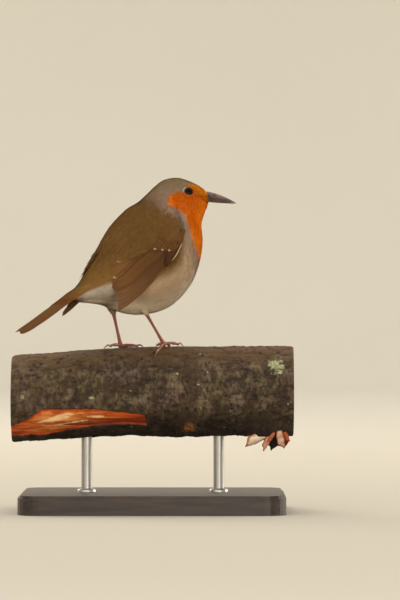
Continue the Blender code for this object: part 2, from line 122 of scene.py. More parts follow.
class Finish:
    def __init__(self, name, **fixed):
        self.material = bpy.data.materials.new(name)
        self.material.use_nodes = True
        self.tree = self.material.node_tree
        self.shader = self.tree.nodes["Principled BSDF"]
        for socket, value in fixed.items():  # sheenWeight -> Sheen Weight
            words = "".join(" " + c if c.isupper() else c for c in socket).title().replace("Ior", "IOR")
            self.shader.inputs[words].default_value = value

    def node(self, kind, settings=None, inputs=None, output=0):
        made = self.tree.nodes.new(kind)
        for key, value in (settings or {}).items():
            if key == "stops":
                while len(made.color_ramp.elements) < len(value):
                    made.color_ramp.elements.new(0.5)
                for stop, (place, colour) in zip(made.color_ramp.elements, value):
                    stop.position, stop.color = place, colour
            else:
                setattr(made, key, value)
        for key, value in (inputs or {}).items():
            if isinstance(value, Wire):
                self.tree.links.new(value.socket, made.inputs[key])
            else:
                made.inputs[key].default_value = value
        return Wire(self, made.outputs[output])

    def mark(self, name):
        return self.node("ShaderNodeAttribute", {"attribute_name": name}, output="Fac")

    def places(self, stretch=(1.0, 1.0, 1.0)):
        spot = self.node("ShaderNodeTexCoord", output="Object")
        return self.node("ShaderNodeVectorMath", {"operation": "MULTIPLY"}, {0: spot, 1: stretch})

    def noise(self, scale, detail=3.0, rough=0.55, at=None, twist=0.0):
        spot = at or self.places()
        sockets = {"Vector": spot, "Scale": scale, "Detail": detail, "Roughness": rough, "Distortion": twist}
        return self.node("ShaderNodeTexNoise", {}, sockets)

    def mix(self, factor, first, second, blend="MIX"):
        settings = {"data_type": "RGBA", "blend_type": blend, "clamp_factor": True}
        return self.node("ShaderNodeMix", settings, {0: factor, 6: first, 7: second}, 2)

    def over(self, colour, factor, code):
        return self.mix(factor, colour, tone(code))

    def shade(self, colour, value, saturation=1.0):
        sockets = {"Color": colour, "Value": value, "Saturation": saturation}
        return self.node("ShaderNodeHueSaturation", {}, sockets)

    def step(self, value, low, high, start=0.0, end=1.0):
        settings = {"interpolation_type": "SMOOTHSTEP"}
        return self.node("ShaderNodeMapRange", settings, {0: value, 1: low, 2: high, 3: start, 4: end})

    def bump(self, height, strength, distance):
        sockets = {"Height": height, "Strength": strength, "Distance": distance}
        return self.node("ShaderNodeBump", {}, sockets)

    def paint(self, **sockets):
        names = {"colour": "Base Color", "roughness": "Roughness", "normal": "Normal", "coat": "Coat Weight"}
        for key, value in sockets.items():
            self.tree.links.new(value.socket, self.shader.inputs[names[key]])
        return self.material


# the corners of a grid's faces, with the last column joined to the first where it is closed
def gridLoops(rows, columns, closed=False, start=0):
    i, k = np.meshgrid(np.arange(rows - 1), np.arange(columns if closed else columns - 1), indexing="ij")
    j = (k + 1) % columns
    corners = np.stack([i * columns + k, i * columns + j, (i + 1) * columns + j, (i + 1) * columns + k], -1)
    return corners.reshape(-1, 4) + start


def capFaces(rows, columns, start=0):
    # one face over each end of a grid that closes round
    first = np.arange(start, start + columns)[None]
    return [first[:, ::-1], first + (rows - 1) * columns]


def turned(faces):
    return [face[:, ::-1] for face in faces]


def readCells(grid, i, k):
    i0, k0 = i.astype(int), k.astype(int)
    s, t = i - i0, k - k0
    near = grid[i0, k0] * (1 - s) + grid[i0 + 1, k0] * s
    far = grid[i0, k0 + 1] * (1 - s) + grid[i0 + 1, k0 + 1] * s
    return near * (1 - t) + far * t


def makePiece(name, points, faces, finish, maps=None, marks=None, normals=None, nodes=(), world=False):
    mesh = bpy.data.meshes.new(name)
    groups = faces if isinstance(faces, (list, tuple)) else [faces]
    loops = np.concatenate([g.ravel() for g in groups]).astype(np.int32)
    sizes = np.concatenate([np.full(len(g), g.shape[1]) for g in groups])
    starts = np.concatenate([[0], np.cumsum(sizes)[:-1]]).astype(np.int32)
    spots = points if world else toWorld(points)
    mesh.vertices.add(len(spots))
    mesh.vertices.foreach_set("co", np.ascontiguousarray(spots, np.float32).ravel())
    mesh.loops.add(len(loops))
    mesh.loops.foreach_set("vertex_index", loops)
    mesh.polygons.add(len(starts))
    mesh.polygons.foreach_set("loop_start", starts)
    mesh.update(calc_edges=True)
    mesh.validate()
    for key, uv in (maps or {}).items():
        uv = uv if len(uv) == len(loops) else uv[loops]
        mesh.uv_layers.new(name=key).data.foreach_set("uv", np.ascontiguousarray(uv, np.float32).ravel())
    for key, values in (marks or {}).items():
        attribute = mesh.attributes.new(key, "FLOAT", "POINT")
        attribute.data.foreach_set("value", np.ascontiguousarray(values, np.float32).ravel())
    mesh.shade_smooth()
    if normals is not None:
        mesh.normals_split_custom_set_from_vertices(normals if world else toWorldWay(normals))
    obj = bpy.data.objects.new(name, mesh)
    bpy.context.scene.collection.objects.link(obj)
    mesh.materials.append(finish)
    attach(obj, "root")
    if nodes:
        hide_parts(*nodes)
    return obj


# camera, light and floor, in metres
view = {"away": 2.0, "x": 0.0222, "z": 0.0991, "height": 0.282, "sensor": 36.0}
softLight = {"colour": (1.0, 0.95, 0.87, 1.0), "strength": 1.15, "lampsAimAt": (0.01, 0.0, 0.11)}
lamps = {  # place, size, power, colour
    "overhead": ((-0.3, 0.5, 1.5), 1.3, 11.0, (1.0, 0.93, 0.82)),
    "front": ((-0.8, -1.6, 0.6), 1.5, 7.5, (1.0, 0.94, 0.86)),
    "right": ((1.3, 0.6, 0.4), 0.7, 13.0, (1.0, 0.93, 0.82)),
    "behindLeft": ((-1.2, 1.2, 0.7), 0.7, 11.0, (1.0, 0.90, 0.74)),
    "lowFill": ((0.35, -1.3, 0.03), 0.8, 8.5, (1.0, 0.93, 0.84)),
}
bowl = {"flat": 2.7, "bend": 0.7, "high": 2.2, "near": "#aca79c", "colour": "#dedad0"}


def makeCamera():
    data = bpy.data.cameras.new("camera")
    data.sensor_width = view["sensor"]
    data.lens = view["sensor"] * view["away"] / view["height"]
    data.clip_start, data.clip_end = 0.05, 30.0
    camera = bpy.data.objects.new("camera", data)
    camera.location = (view["x"], -view["away"], view["z"])
    camera.rotation_euler = (math.radians(90), 0, 0)
    bpy.context.scene.collection.objects.link(camera)
    bpy.context.scene.camera = camera


def makeLight():
    target = Vector(softLight["lampsAimAt"])
    for name, (place, size, power, colour) in lamps.items():
        data = bpy.data.lights.new(name, "AREA")
        data.shape, data.size, data.energy, data.color = "DISK", size, power, colour
        lamp = bpy.data.objects.new(name, data)
        lamp.location = place
        lamp.rotation_euler = (target - lamp.location).to_track_quat("-Z", "Y").to_euler()
        lamp.visible_camera = False
        bpy.context.scene.collection.objects.link(lamp)
    studio = bpy.data.worlds.new("studio")
    bpy.context.scene.world = studio
    studio.use_nodes = True
    background = studio.node_tree.nodes["Background"]
    background.inputs["Color"].default_value = softLight["colour"]
    background.inputs["Strength"].default_value = softLight["strength"]
    bpy.context.scene.view_settings.view_transform = "Standard"


def makeFloor():
    flat, bend, high = bowl["flat"], bowl["bend"], bowl["high"]
    profile = [(flat * i / 6, 0.0) for i in range(7)]
    profile += [(flat + bend * math.sin(t), bend * (1 - math.cos(t))) for t in np.linspace(0.1, math.pi / 2, 14)]
    profile.append((flat + bend, high))
    turns = np.linspace(0, 2 * math.pi, 97)[:-1]
    points = np.array([[r * math.cos(t), r * math.sin(t), z] for r, z in profile for t in turns])
    finish = Finish("paleFloor", specularIorLevel=0.2)
    soft = finish.noise(3.0, 2.0)
    far = finish.node("ShaderNodeVectorMath", {"operation": "LENGTH"}, {0: finish.places()}, "Value")
    colour = finish.mix(finish.step(far, 0.1, bowl["flat"]), tone(bowl["near"]), tone(bowl["colour"]))
    colour = finish.shade(colour, 0.98 + soft * 0.04)
    material = finish.paint(colour=colour, roughness=0.85 + soft * 0.1)
    mesh = bpy.data.meshes.new("floor")
    columns = len(turns)  # the first ring is a point, so one face closes the second
    rings = gridLoops(len(profile), columns, True)[columns:, ::-1].tolist()
    mesh.from_pydata(points.tolist(), [], rings + [list(range(columns, 2 * columns))])
    mesh.shade_smooth()
    mesh.materials.append(material)
    floor = bpy.data.objects.new("floor", mesh)
    bpy.context.scene.collection.objects.link(floor)


makeCamera()
makeLight()
makeFloor()
print("camera, light and floor made")


# the body's form, as rings from the tail to the bill
# back forward and up, belly forward and up, half width, share of the head's turn, fullness below
bodyRows = np.array(
    [
        (-53.0, 17.6, -52.6, 16.2, 4.5, 0.0, 0.0),  # over the tail's root, for the coverts only
        (-40.6, 25.6, -39.8, 21.4, 5.2, 0.0, 0.0),
        (-34.2, 29.2, -32.2, 20.8, 7.6, 0.0, 0.0),
        (-28.2, 35.0, -19.6, 19.4, 13.2, 0.0, 0.0),
        (-22.8, 42.0, -4.0, 15.2, 19.0, 0.0, 0.05),
        (-17.0, 49.8, 10.8, 17.4, 22.0, 0.0, 0.08),
        (-11.2, 57.6, 22.4, 26.2, 22.2, 0.0, 0.08),
        (-4.2, 63.8, 29.2, 37.4, 20.2, 0.0, 0.05),
        (2.2, 68.6, 32.4, 47.6, 17.4, 0.10, 0.0),
        (7.0, 72.6, 32.4, 56.4, 14.6, 0.36, 0.0),
        (10.6, 76.2, 34.0, 62.4, 12.2, 0.72, 0.06),
        (14.8, 79.0, 35.4, 66.0, 9.9, 0.94, 0.12),
        (21.6, 79.9, 35.5, 67.4, 8.7, 1.0, 0.10),
        (29.4, 77.2, 35.9, 67.9, 5.8, 1.0, 0.05),
        (34.4, 74.2, 35.9, 68.5, 2.8, 1.0, 0.0),
    ]
)
placeSteps = np.linspace(-1.0, 13.0, 1401)


def easedRows():
    rows, last = bodyRows[1:], len(bodyRows) - 2
    i = np.clip(np.floor(placeSteps).astype(int), 0, last - 1)
    t = (placeSteps - i)[:, None]
    a, b, c, d = (rows[np.clip(i + k, 0, last)] for k in (-1, 0, 1, 2))
    curve = 0.5 * (2 * b + (c - a) * t + (2 * a - 5 * b + 4 * c - d) * t**2 + (3 * b - a - 3 * c + d) * t**3)
    behind = bodyRows[0] + (bodyRows[1] - bodyRows[0]) * (placeSteps + 1)[:, None]
    return np.where(placeSteps[:, None] < 0, behind, curve)


sectionTable = easedRows()


def bodyPoint(place, angle):
    backF, backU, bellyF, bellyU, half, share, full = (np.interp(
        place, placeSteps, column,
    ) for column in sectionTable.T)
    along = np.cos(angle) - full * np.sin(angle) ** 2
    f = (backF + bellyF) / 2 + (backF - bellyF) / 2 * along
    u = (backU + bellyU) / 2 + (backU - bellyU) / 2 * along
    return turnHead(np.stack([f, half * np.sin(angle), u], -1), share)


def bodyFrame(place, angle, step=0.02):
    perPlace = (bodyPoint(place + step, angle) - bodyPoint(place - step, angle)) / (2 * step)
    perAngle = (bodyPoint(place, angle + step) - bodyPoint(place, angle - step)) / (2 * step)
    return perPlace, perAngle, unit(np.cross(perPlace, perAngle))


def byPlace(values, place):
    return np.interp(place, np.arange(-1, 14), values)


# markings, the same for the skin and for the coat that grows on it
orangeEdge = [  # the border of the orange, as place along the body and degrees from the back
    (5.93, 180), (6.0, 145), (6.04, 128.5), (6.06, 119.5), (6.11, 110.5), (6.2, 103), (6.37, 96.5), (6.57, 92),
    (6.85, 88.5), (7.08, 82.5), (7.2, 72), (7.26, 56), (7.35, 49.5), (7.76, 47.5), (8.23, 48.5), (8.74, 54),
    (9.09, 58.5), (9.35, 65.5), (9.56, 72), (9.9, 73), (10.25, 73), (10.7, 72.5), (10.92, 63), (11.12, 57),
    (11.3, 52), (11.51, 46), (11.97, 33), (12.28, 24), (12.66, 14), (13.0, 0),
]
# painted shade along the bend of the wing, where it meets the coat
bendShadeLine = [(6.95, 62), (6.75, 67), (6.5, 72.5), (6.2, 76), (5.85, 76), (5.5, 75)]
earLine = [(7.2, 51), (7.1, 55), (7.14, 59), (7.2, 63)]  # the shaded fold below the ear
# a thin dark line back from the bill's corner
gapeLine = [(10.3, 101), (10.77, 108), (11.39, 110.5), (12.4, 104.5), (13.0, 103)]
bellyEdge = [125, 108, 68, 68, 84, 86, 93, 84, 66, 62, 80, 90, 90, 90, 90]  # where the pale side starts, by place
markSizes = {
    "orangeSoft": 0.7, "bellySoft": [0.7, 0.7, 1.2, 2.2, 3, 3, 3, 3, 3, 3, 3, 3, 3, 3, 3],
    "bandWide": [4, 4, 4, 4, 4, 8, 8, 5.5, 5, 4, 3, 3, 3, 3, 3],  # by place, as the next three are
    "bandDepth": [0, 0, 0, 0, 0, 0.45, 0.6, 0.85, 0.9, 0.9, 0.8, 0.7, 0.6, 0.4, 0.3],
    "stepLong": [10, 9, 12, 14, 14, 13, 12, 10, 8, 6, 4.8, 4.1, 4.1, 3.6, 2.8],  # mm for one step of place
    "round": [5, 5, 7, 13, 18, 21, 21, 19, 17, 14, 12, 10, 8, 6, 4],  # mm from the axis, for a degree's length
}


def lineGap(line, place, turn, degreeLong):
    # mm from each spot to the line
    step, best = byPlace(markSizes["stepLong"], place), np.full(place.shape, 99.0)
    for (place0, turn0), (place1, turn1) in zip(line[:-1], line[1:]):
        x, y = (place0 - place) * step, (turn0 - turn) * degreeLong
        dx, dy = (place1 - place0) * step, (turn1 - turn0) * degreeLong
        t = np.clip(-(x * dx + y * dy) / (dx * dx + dy * dy), 0, 1)
        best = np.minimum(best, np.hypot(x + t * dx, y + t * dy))
    return best


def markings(place, angle):
    turn = np.degrees(np.abs((angle + np.pi) % (2 * np.pi) - np.pi))
    degreeLong = byPlace(markSizes["round"], place) * math.pi / 180
    inOrange = turn > np.interp(place, *zip(*orangeEdge), left=200)
    reach = lineGap(orangeEdge, place, turn, degreeLong) * np.where(inOrange, 1, -1)
    orange = smooth(reach, -markSizes["orangeSoft"], markSizes["orangeSoft"])
    wide = byPlace(markSizes["bandWide"], place)
    side = smooth(reach, -wide - 2.5, -wide + 2.5) * byPlace(markSizes["bandDepth"], place)
    head = smooth(place, 6.3, 7.6) * (0.45 + 0.55 * smooth(turn, 8, 45)) * (1 - 0.7 * smooth(place, 8.8, 10.8))
    band = np.maximum(side, 0.8 * head)
    soft = byPlace(markSizes["bellySoft"], place)
    belly = smooth((turn - byPlace(bellyEdge, place)) * degreeLong, -soft, soft)
    belly = belly * (1 - smooth(place, 7.0, 8.2))
    # painted shade where the wing's tip and the thigh lie against the body; painted light from below, paler low under
    # the tail and along the underside
    shadeAgainstBody = 0.95 * bell(place, 1.95, 0.22) * smooth(turn, 98, 116) + 0.5 * bell(place, 1.3, 0.14) * bell(turn, 70, 15)
    # painted light from below: paler low under the tail and on the lower side
    low = 0.9 * smooth(turn, 124, 146) * smooth(place, 0.3, 0.8) * (1 - smooth(place, 1.66, 1.86))
    under = np.maximum(smooth(turn, 108, 150) * (1 - smooth(place, 4.8, 6.4)) * smooth(place, 0.2, 2.6), low)
    deep = smooth(turn, 46, 62) * (1 - 0.6 * smooth(turn, 100, 130)) * smooth(place, 6.2, 7.6)
    # pale under the tail, and a wider pale band along the lower side as painted light from below
    vent = np.maximum(1 - smooth(place, 1.4, 3.2), 0.6 * smooth(turn, 106, 132) * (1 - smooth(place, 5.6, 6.6)))
    return {
        "orange": orange,
        # the lilac band, with the painted shade against the wing's tip and thigh added low on the body
        "band": np.clip(band * (1 - orange) + shadeAgainstBody * belly, 0, 1),
        "belly": belly,
        "rump": (1 - smooth(place, 1.6, 4.2)) * (1 - belly),
        "crown": smooth(place, 6.6, 9.4) * (1 - orange),
        "deep": orange * deep * (1 - smooth(place, 10.2, 12.2)),
        "gold": 0.6 * orange * smooth(place, 10.3, 11.6) * (1 - smooth(turn, 96, 118)),
        "vent": belly * vent,
        "under": belly * under,
        "tail": 1 - smooth(place - 0.5 * smooth(turn, 100, 150), -0.5, 0.9),
        "gape": 0.38 * bell(lineGap(gapeLine, place, turn, degreeLong), 0, 0.55) * orange,
        # painted shade along the wing's bend and in the fold below the ear
        "bend": np.maximum(
            0.6 * bell(lineGap(bendShadeLine, place, turn, degreeLong), 0, 1.2) * smooth(place, 5.2, 6.3),
            0.4 * bell(lineGap(earLine, place, turn, degreeLong), 0, 0.7),
        ),
    }


# bend is a painted shade tone
plumage = {
    # the vent tone also paints light on the lower side and the highlight by the eye
    "mantle": "#644929", "crown": "#6e603b", "rump": "#785930", "belly": "#aa9173", "vent": "#a09687",
    "band": "#8c7466", "orange": "#d37000", "deep": "#b25100", "gold": "#bb7414", "tail": "#623e22",
    # the last tone on the next line is painted light from below, for the underside and the near thigh
    "gape": "#351b0a", "bend": "#3f3836", "under": "#e3d2b8",
}


def plumageFinish(name, down=False):
    finish = Finish(name, sheenWeight=0.0, sheenRoughness=0.6, specularIorLevel=0.0)
    colour, warm = tone(plumage["mantle"]), tone(plumage["orange"])
    # the coat's tones, with painted light on the lower side and the band's painted shade against the wing and thigh
    for part in ("crown", "rump", "belly", "vent", "under", "band"):
        colour = finish.over(colour, finish.mark(part), plumage[part])
    for part in ("deep", "gold"):
        warm = finish.over(warm, finish.mark(part), plumage[part])
    colour = finish.mix(finish.mark("orange"), colour, warm)
    # then the tail tone, the gape line and the painted shade along the wing's bend, below the ear and on the far
    # thigh
    for part in ("tail", "gape", "bend"):
        colour = finish.over(colour, finish.mark(part), plumage[part])
    mottle = finish.noise(420.0, 3.0)
    broad = finish.noise(90.0, 2.0)
    if down:
        colour = finish.shade(colour, 0.88 + mottle * 0.3)
        rough = 0.8 + mottle * 0.15
        normal = finish.bump(finish.noise(2400.0, 3.0), 0.6, 0.0003)
    else:
        vary, along = finish.mark("vary"), finish.mark("along")
        value = 0.83 + vary * 0.20 + along * 0.10 + (mottle - 0.5) * 0.16 + (broad - 0.5) * 0.30
        value = value + finish.mark("vent") * (finish.noise(330.0, 2.0) - 0.5) * 0.5
        colour = finish.shade(colour, value, 1.0 + (0.5 - vary) * 0.12)
        rough = 0.62 + mottle * 0.25
        normal = finish.bump(finish.noise(5200.0, 2.0), 0.25, 0.0001)
    return finish.paint(colour=colour, roughness=rough, normal=normal)


# where the eyes are, from their solids
def findEye(side):
    low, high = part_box("eye_" + side)
    centre = toBird(np.array((low + high) / 2))
    sign = 1.0 if side == "left" else -1.0
    places, angles = np.meshgrid(
        np.linspace(9.5, 12.8, 300), np.radians(np.linspace(15, 150, 300)) * sign, indexing="ij",
    )
    spots = bodyPoint(places, angles)
    nearest = np.unravel_index(np.argmin(np.linalg.norm(spots - centre, axis=-1)), places.shape)
    out = bodyFrame(places[nearest], angles[nearest])[2]
    forward = turnHead(np.array([100.0, 0.0, 0.0]), 1.0) - turnHead(np.array([0.0, 0.0, 0.0]), 1.0)
    forward = unit(forward - out * forward.dot(out))
    above = unit(np.cross(forward, out) * (1 if np.cross(forward, out)[2] > 0 else -1))
    return {
        "centre": centre, "out": out, "forward": forward, "above": above,
        "place": places[nearest], "angle": angles[nearest],
    }


eyes = {side: findEye(side) for side in ("left", "right")}


# where the folded wings lie, measured on their solids: a from the wrist to the tip, b from the lower edge up
wingWay = {"start": (14.0, 61.5), "along": (-0.7071, -0.7071), "across": (-0.7071, 0.7071)}
sheetA, sheetB = np.arange(-6.0, 69.0, 1.0), np.arange(-11.0, 19.0, 1.0)

# places on the folded wing in mm: tips and bases as (a, b), widths below and above the shaft, height over the solid
wing = {
    "seed": 5,
    "tilt": 0.11,
    "lowerA": [-6, 0.0, 4.5, 11.5, 19.5, 25.5, 34.5, 44.5, 55.0, 61.5],
    "lowerB": [0, 0.2, -0.6, -4.0, -6.1, -6.5, -6.5, -5.0, -3.4, -1.3],
    "primaryTips": [(61.0, -1.5), (60.5, -0.9), (59.4, -0.2), (58.0, 0.7), (56.4, 1.6), (54.9, 2.4), (53.6, 3.1)],
    "secondaryTips": [(53.0, 3.5), (52.5, 4.2), (51.8, 4.8), (51.0, 5.3), (49.9, 5.8), (48.6, 6.2)],
    "farTips": [
        ((28, 9.3), (38.6, 10.9)), ((31.5, 8.7), (42.2, 10.1)), ((35, 7.9), (45.8, 9.2)), ((38, 6.9), (50.0, 7.9)),
    ],
    "tertials": [
        ((16.0, 5.2), (48.3, 6.9), 2.3, 2.9), ((13.0, 7.8), (40.3, 9.5), 2.4, 2.6),
        ((13.0, 9.2), (31.5, 10.4), 1.9, 1.3),
    ],
    "alula": [((6.6, -2.3), (24.0, -5.6)), ((6.0, -1.2), (18.6, -4.2)), ((4.5, -0.4), (13.4, -2.7))],
    "primaryCoverts": 7, "greater": 9, "median": 8, "bendFeathers": range(2, 9),  # how many in each row
    "paleGreater": (1, 3, 5), "paleTip": 0.6, "paleTertial": 0.3,
}


def toSheet(f, u):
    df, du = f - wingWay["start"][0], u - wingWay["start"][1]
    return (
        df * wingWay["along"][0] + du * wingWay["along"][1],
        df * wingWay["across"][0] + du * wingWay["across"][1],
    )


def fromSheet(a, b):
    return (
        wingWay["start"][0] + a * wingWay["along"][0] + b * wingWay["across"][0],
        wingWay["start"][1] + a * wingWay["along"][1] + b * wingWay["across"][1],
    )


def treeOf(node):
    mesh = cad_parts[node].data
    spots = np.empty(len(mesh.vertices) * 3)
    mesh.vertices.foreach_get("co", spots)
    return BVHTree.FromPolygons(toBird(spots.reshape(-1, 3)).tolist(), [list(p.vertices) for p in mesh.polygons])


def readGrid(grid, a, b):
    i = np.clip(a - sheetA[0], 0, len(sheetA) - 1.001)
    k = np.clip(b - sheetB[0], 0, len(sheetB) - 1.001)
    return readCells(grid, i, k)


def findSheet(side):
    sign = 1.0 if side == "left" else -1.0
    tree = treeOf("wing_" + side)
    out = np.full((len(sheetA), len(sheetB)), np.nan)
    for i, a in enumerate(sheetA):
        for k, b in enumerate(sheetB):
            f, u = fromSheet(a, b)
            hit = tree.ray_cast(Vector((f, sign * 80, u)), Vector((0, -sign, 0)))[0]
            if hit is not None:
                out[i, k] = abs(hit.y)
    inside = ~np.isnan(out)
    cells = np.stack(np.meshgrid(sheetA, sheetB, indexing="ij"), -1)
    here, there = cells[inside], cells[~inside]
    gap = np.zeros(out.shape)  # mm inside the wing's outline, less than 0 outside
    gap[inside] = np.linalg.norm(here[:, None] - there[None], axis=-1).min(1) - 0.5
    gap[~inside] = 0.5 - np.linalg.norm(there[:, None] - here[None], axis=-1).min(1)
    known = inside.copy()
    while not known.all():  # carry the surface on past the outline
        total, count = np.zeros(out.shape), np.zeros(out.shape)
        filled = np.where(known, out, 0.0)
        for di in (-1, 0, 1):
            for dk in (-1, 0, 1):
                moved, there = np.roll(filled, (di, dk), (0, 1)), np.roll(known, (di, dk), (0, 1)).astype(float)
                if di:
                    moved[0 if di > 0 else -1], there[0 if di > 0 else -1] = 0, 0
                if dk:
                    moved[:, 0 if dk > 0 else -1], there[:, 0 if dk > 0 else -1] = 0, 0
                total, count = total + moved, count + there
        fresh = ~known & (count > 0)
        out[fresh] = (total / np.maximum(count, 1))[fresh]
        known |= fresh
    trunk = treeOf("trunk")
    for i, k in np.ndindex(*out.shape):  # towards and past its edges the wing closes down on the body
        f, u = fromSheet(sheetA[i], sheetB[k])
        hit = trunk.ray_cast(Vector((f, sign * 80, u)), Vector((0, -sign, 0)))[0]
        reach = abs(hit.y) if hit is not None else 0.0
        if sheetB[k] > 3 and sheetA[i] > 6 and (hit is not None or not inside[i, k]):
            out[i, k] = min(out[i, k], reach + 0.7 + 0.65 * max(gap[i, k], 0.0))
        elif sheetB[k] <= 3 and sheetA[i] < 46 and not inside[i, k]:
            out[i, k] = max(out[i, k], reach + 0.9)
    for _ in range(2):
        padded = np.pad(out, 1, mode="edge")
        out = 0.5 * out + 0.125 * (padded[:-2, 1:-1] + padded[2:, 1:-1] + padded[1:-1, :-2] + padded[1:-1, 2:])
    slopeA, slopeB = np.gradient(out)
    return {"out": out, "gap": gap, "slopeA": slopeA, "slopeB": slopeB, "sign": sign}


sheets = {side: findSheet(side) for side in ("left", "right")}
print("wings measured")


def sheetPoint(sheet, a, b, above):
    out, sa, sb = (readGrid(sheet[key], a, b) for key in ("out", "slopeA", "slopeB"))
    f, u = fromSheet(a, b)
    slopeF = sa * wingWay["along"][0] + sb * wingWay["across"][0]
    slopeU = sa * wingWay["along"][1] + sb * wingWay["across"][1]
    normal = unit(np.stack([-slopeF, np.full_like(slopeF, sheet["sign"]), -slopeU], -1))
    return np.stack([f, sheet["sign"] * out, u], -1) + normal * above[..., None]


def coverAllowed(a, b):
    scapular = smooth(b, 4.2, 6.4) * (1 - smooth(a + 0.9 * (11 - b), 29, 34))
    wrist = (1 - smooth(a + 0.35 * b, 12.0, 15.0)) * np.maximum(smooth(b, -0.6, 1.4), 1 - smooth(a, 1.0, 3.0))
    below = 1 - smooth(b - np.interp(a, wing["lowerA"], wing["lowerB"]), -1.0, -0.2)
    below = below * (1 - smooth(a, 36, 46))
    return np.clip(np.maximum(np.maximum(scapular, wrist), below), 0, 1)


# slope is the coat's steepest climb to the wing, hump the mm of fullness between the wings
drape = {"slope": 0.5, "hump": 1.0, "rounds": 60, "rows": 280, "columns": 360}
drapePlaces = np.linspace(-1, 13, drape["rows"] + 1)
drapeAngles = np.linspace(-math.pi, math.pi, drape["columns"] + 1)


def drapeGrids():
    place, angle = np.meshgrid(drapePlaces, drapeAngles, indexing="ij")
    spot = bodyPoint(place, angle)
    normal = bodyFrame(place, angle)[2]
    a, b = toSheet(spot[..., 0], spot[..., 2])
    height, lifts, shares = (np.zeros(place.shape) for _ in range(3))
    inside = np.full(place.shape, -9.0)
    for sheet in sheets.values():
        mine = (spot[..., 1] * sheet["sign"] > 2) & (a > -5) & (a < 67) & (b > -10) & (b < 18)
        gap = readGrid(sheet["gap"], a, b)
        facing, allowed = np.clip(normal[..., 1] * sheet["sign"], 0.15, 1), coverAllowed(a, b)
        lift = (readGrid(sheet["out"], a, b) - np.abs(spot[..., 1])) * facing
        lift = np.clip(lift, 0, 7.0) * smooth(gap, -1.2, 0.6)
        height = np.where(mine, lift * allowed, height)
        inside = np.where(mine, np.where(allowed > 0.5, -9.0, gap), inside)
        lifts, shares = np.where(mine, lift, lifts), np.where(mine & (b > 0.5), allowed, shares)
    turn = np.degrees(np.abs(angle))
    hump = drape["hump"] * (1 - smooth(turn, 22, 62)) * smooth(place, 2.8, 4.2) * (1 - smooth(place, 6.0, 7.3))
    height = np.maximum(height, hump)  # the back fills out between the wings
    perPlace, perAngle, _ = bodyFrame(place, angle)
    alongStep = np.linalg.norm(perPlace, axis=-1) * 14 / drape["rows"]
    roundStep = np.linalg.norm(perAngle, axis=-1) * 2 * math.pi / drape["columns"]
    for _ in range(drape["rounds"]):  # the coat climbs to the wing by a slope, not by a step
        for shift, axis, step in ((1, 0, alongStep), (-1, 0, alongStep), (1, 1, roundStep), (-1, 1, roundStep)):
            height = np.maximum(height, np.roll(height, shift, axis) - drape["slope"] * np.maximum(step, 0.12))
    return height, inside, lifts, shares


drapeHeight, drapeInside, drapeLift, drapeShare = drapeGrids()


def readDrape(grid, place, angle):
    rows, columns = drape["rows"], drape["columns"]
    i = np.clip((place + 1) / 14 * rows, 0, rows - 0.01)
    k = np.clip(((angle + math.pi) % (2 * math.pi)) / (2 * math.pi) * columns, 0, columns - 0.01)
    return readCells(grid, i, k)


# skin: one closed form under the coat
skin = {
    "rows": 300, "columns": 180,
    "depth": [0.4, 0.5, 0.8, 1.2, 1.4, 1.5, 1.5, 1.4, 1.2, 1.1, 1.0, 0.9, 0.65, 0.35, 0.2],
}


def makeSkin():
    places = np.linspace(-0.35, 13.0, skin["rows"])
    angles = np.linspace(-math.pi, math.pi, skin["columns"], endpoint=False) + math.pi
    place, angle = np.meshgrid(places, angles, indexing="ij")
    normal = bodyFrame(place, angle)[2]
    points = bodyPoint(place, angle) - normal * byPlace(skin["depth"], place)[..., None]
    for side in ("left", "right"):  # the thighs swell out of the belly
        low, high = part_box("thigh_" + side)
        thigh = toBird(np.array((low + high) / 2))
        near = bell(np.linalg.norm(points - thigh, axis=-1), 0.0, 2.8)
        swell = np.clip(near * 0.7, 0, 1)[..., None]
        points = points + (thigh - points) * swell + np.array([0, 0, -0.5]) * near[..., None]
    rows, columns = skin["rows"], skin["columns"]
    faces = gridLoops(rows, columns, True)
    turn, row = (faces % columns) / columns, faces // columns / (rows - 1)
    turn = np.where((turn == 0) & (turn.max(1, keepdims=True) > 0.9), 1.0, turn)  # the seam's far side
    uv = np.stack([turn * 0.96 + 0.02, row * 0.96 + 0.02], -1).reshape(-1, 2)
    caps = [
        np.stack([0.5 + 0.008 * np.cos(angles), 0.01 + 0.98 * k + 0.006 * np.sin(angles) * (1 - 2 * k)], -1)
        for k in (0, 1)
    ]
    uv = np.concatenate([uv, *caps])
    marks = {key: value.ravel() for key, value in markings(place, angle).items()}
    makePiece(
        "skin", points.reshape(-1, 3), [faces, *capFaces(rows, columns)], plumageFinish("skinDown", True),
        {"OFBake": uv}, marks, nodes=("head", "neck", "trunk", "thigh_left", "thigh_right"),
    )


makeSkin()
print("skin made")


# coat: fans of narrow blades that lie back along the body
coat = {
    "seed": 11,
    "length": [7.0, 8.0, 9.0, 9.5, 10.0, 10.0, 9.5, 8.5, 7.0, 5.6, 4.2, 3.1, 2.5, 1.8, 1.2],  # by place
    "spacing": [0.95, 0.9, 0.95, 1.05, 1.1, 1.1, 1.05, 0.95, 0.85, 0.74, 0.62, 0.52, 0.46, 0.4, 0.36],
    "liftShare": [0.1, 0.3, 0.9, 1, 1, 1, 1, 1, 0.9, 0.7, 0.55, 0.45, 0.35, 0.25, 0.15],
    "wide": 0.42, "lift": 0.10, "belowLift": 0.13, "ragged": 0.10,
    "bodyBlades": 15, "headBlades": 7, "headFrom": 8.2,
    "bladeWide": 2.5, "eyeClear": 2.1, "eyeProud": 2.1, "trials": 420000, "patch": 0.0015, "underWing": 4.5,
}
bladeRun = np.array([0.0, 0.36, 0.72, 1.0])  # share of the length at each step of a blade
bladeWide = np.array([0.55, 1.0, 0.8, 0.0])
bladePoints = 7  # a pair at each of the first three steps, one at the tip
pointSides = np.array([-1, 1, -1, 1, -1, 1, 0])
pointRun = bladeRun[[0, 0, 1, 1, 2, 2, 3]]
bladePatch = np.stack([pointSides, 1 - 2 * pointRun], -1)  # a blade laid out flat


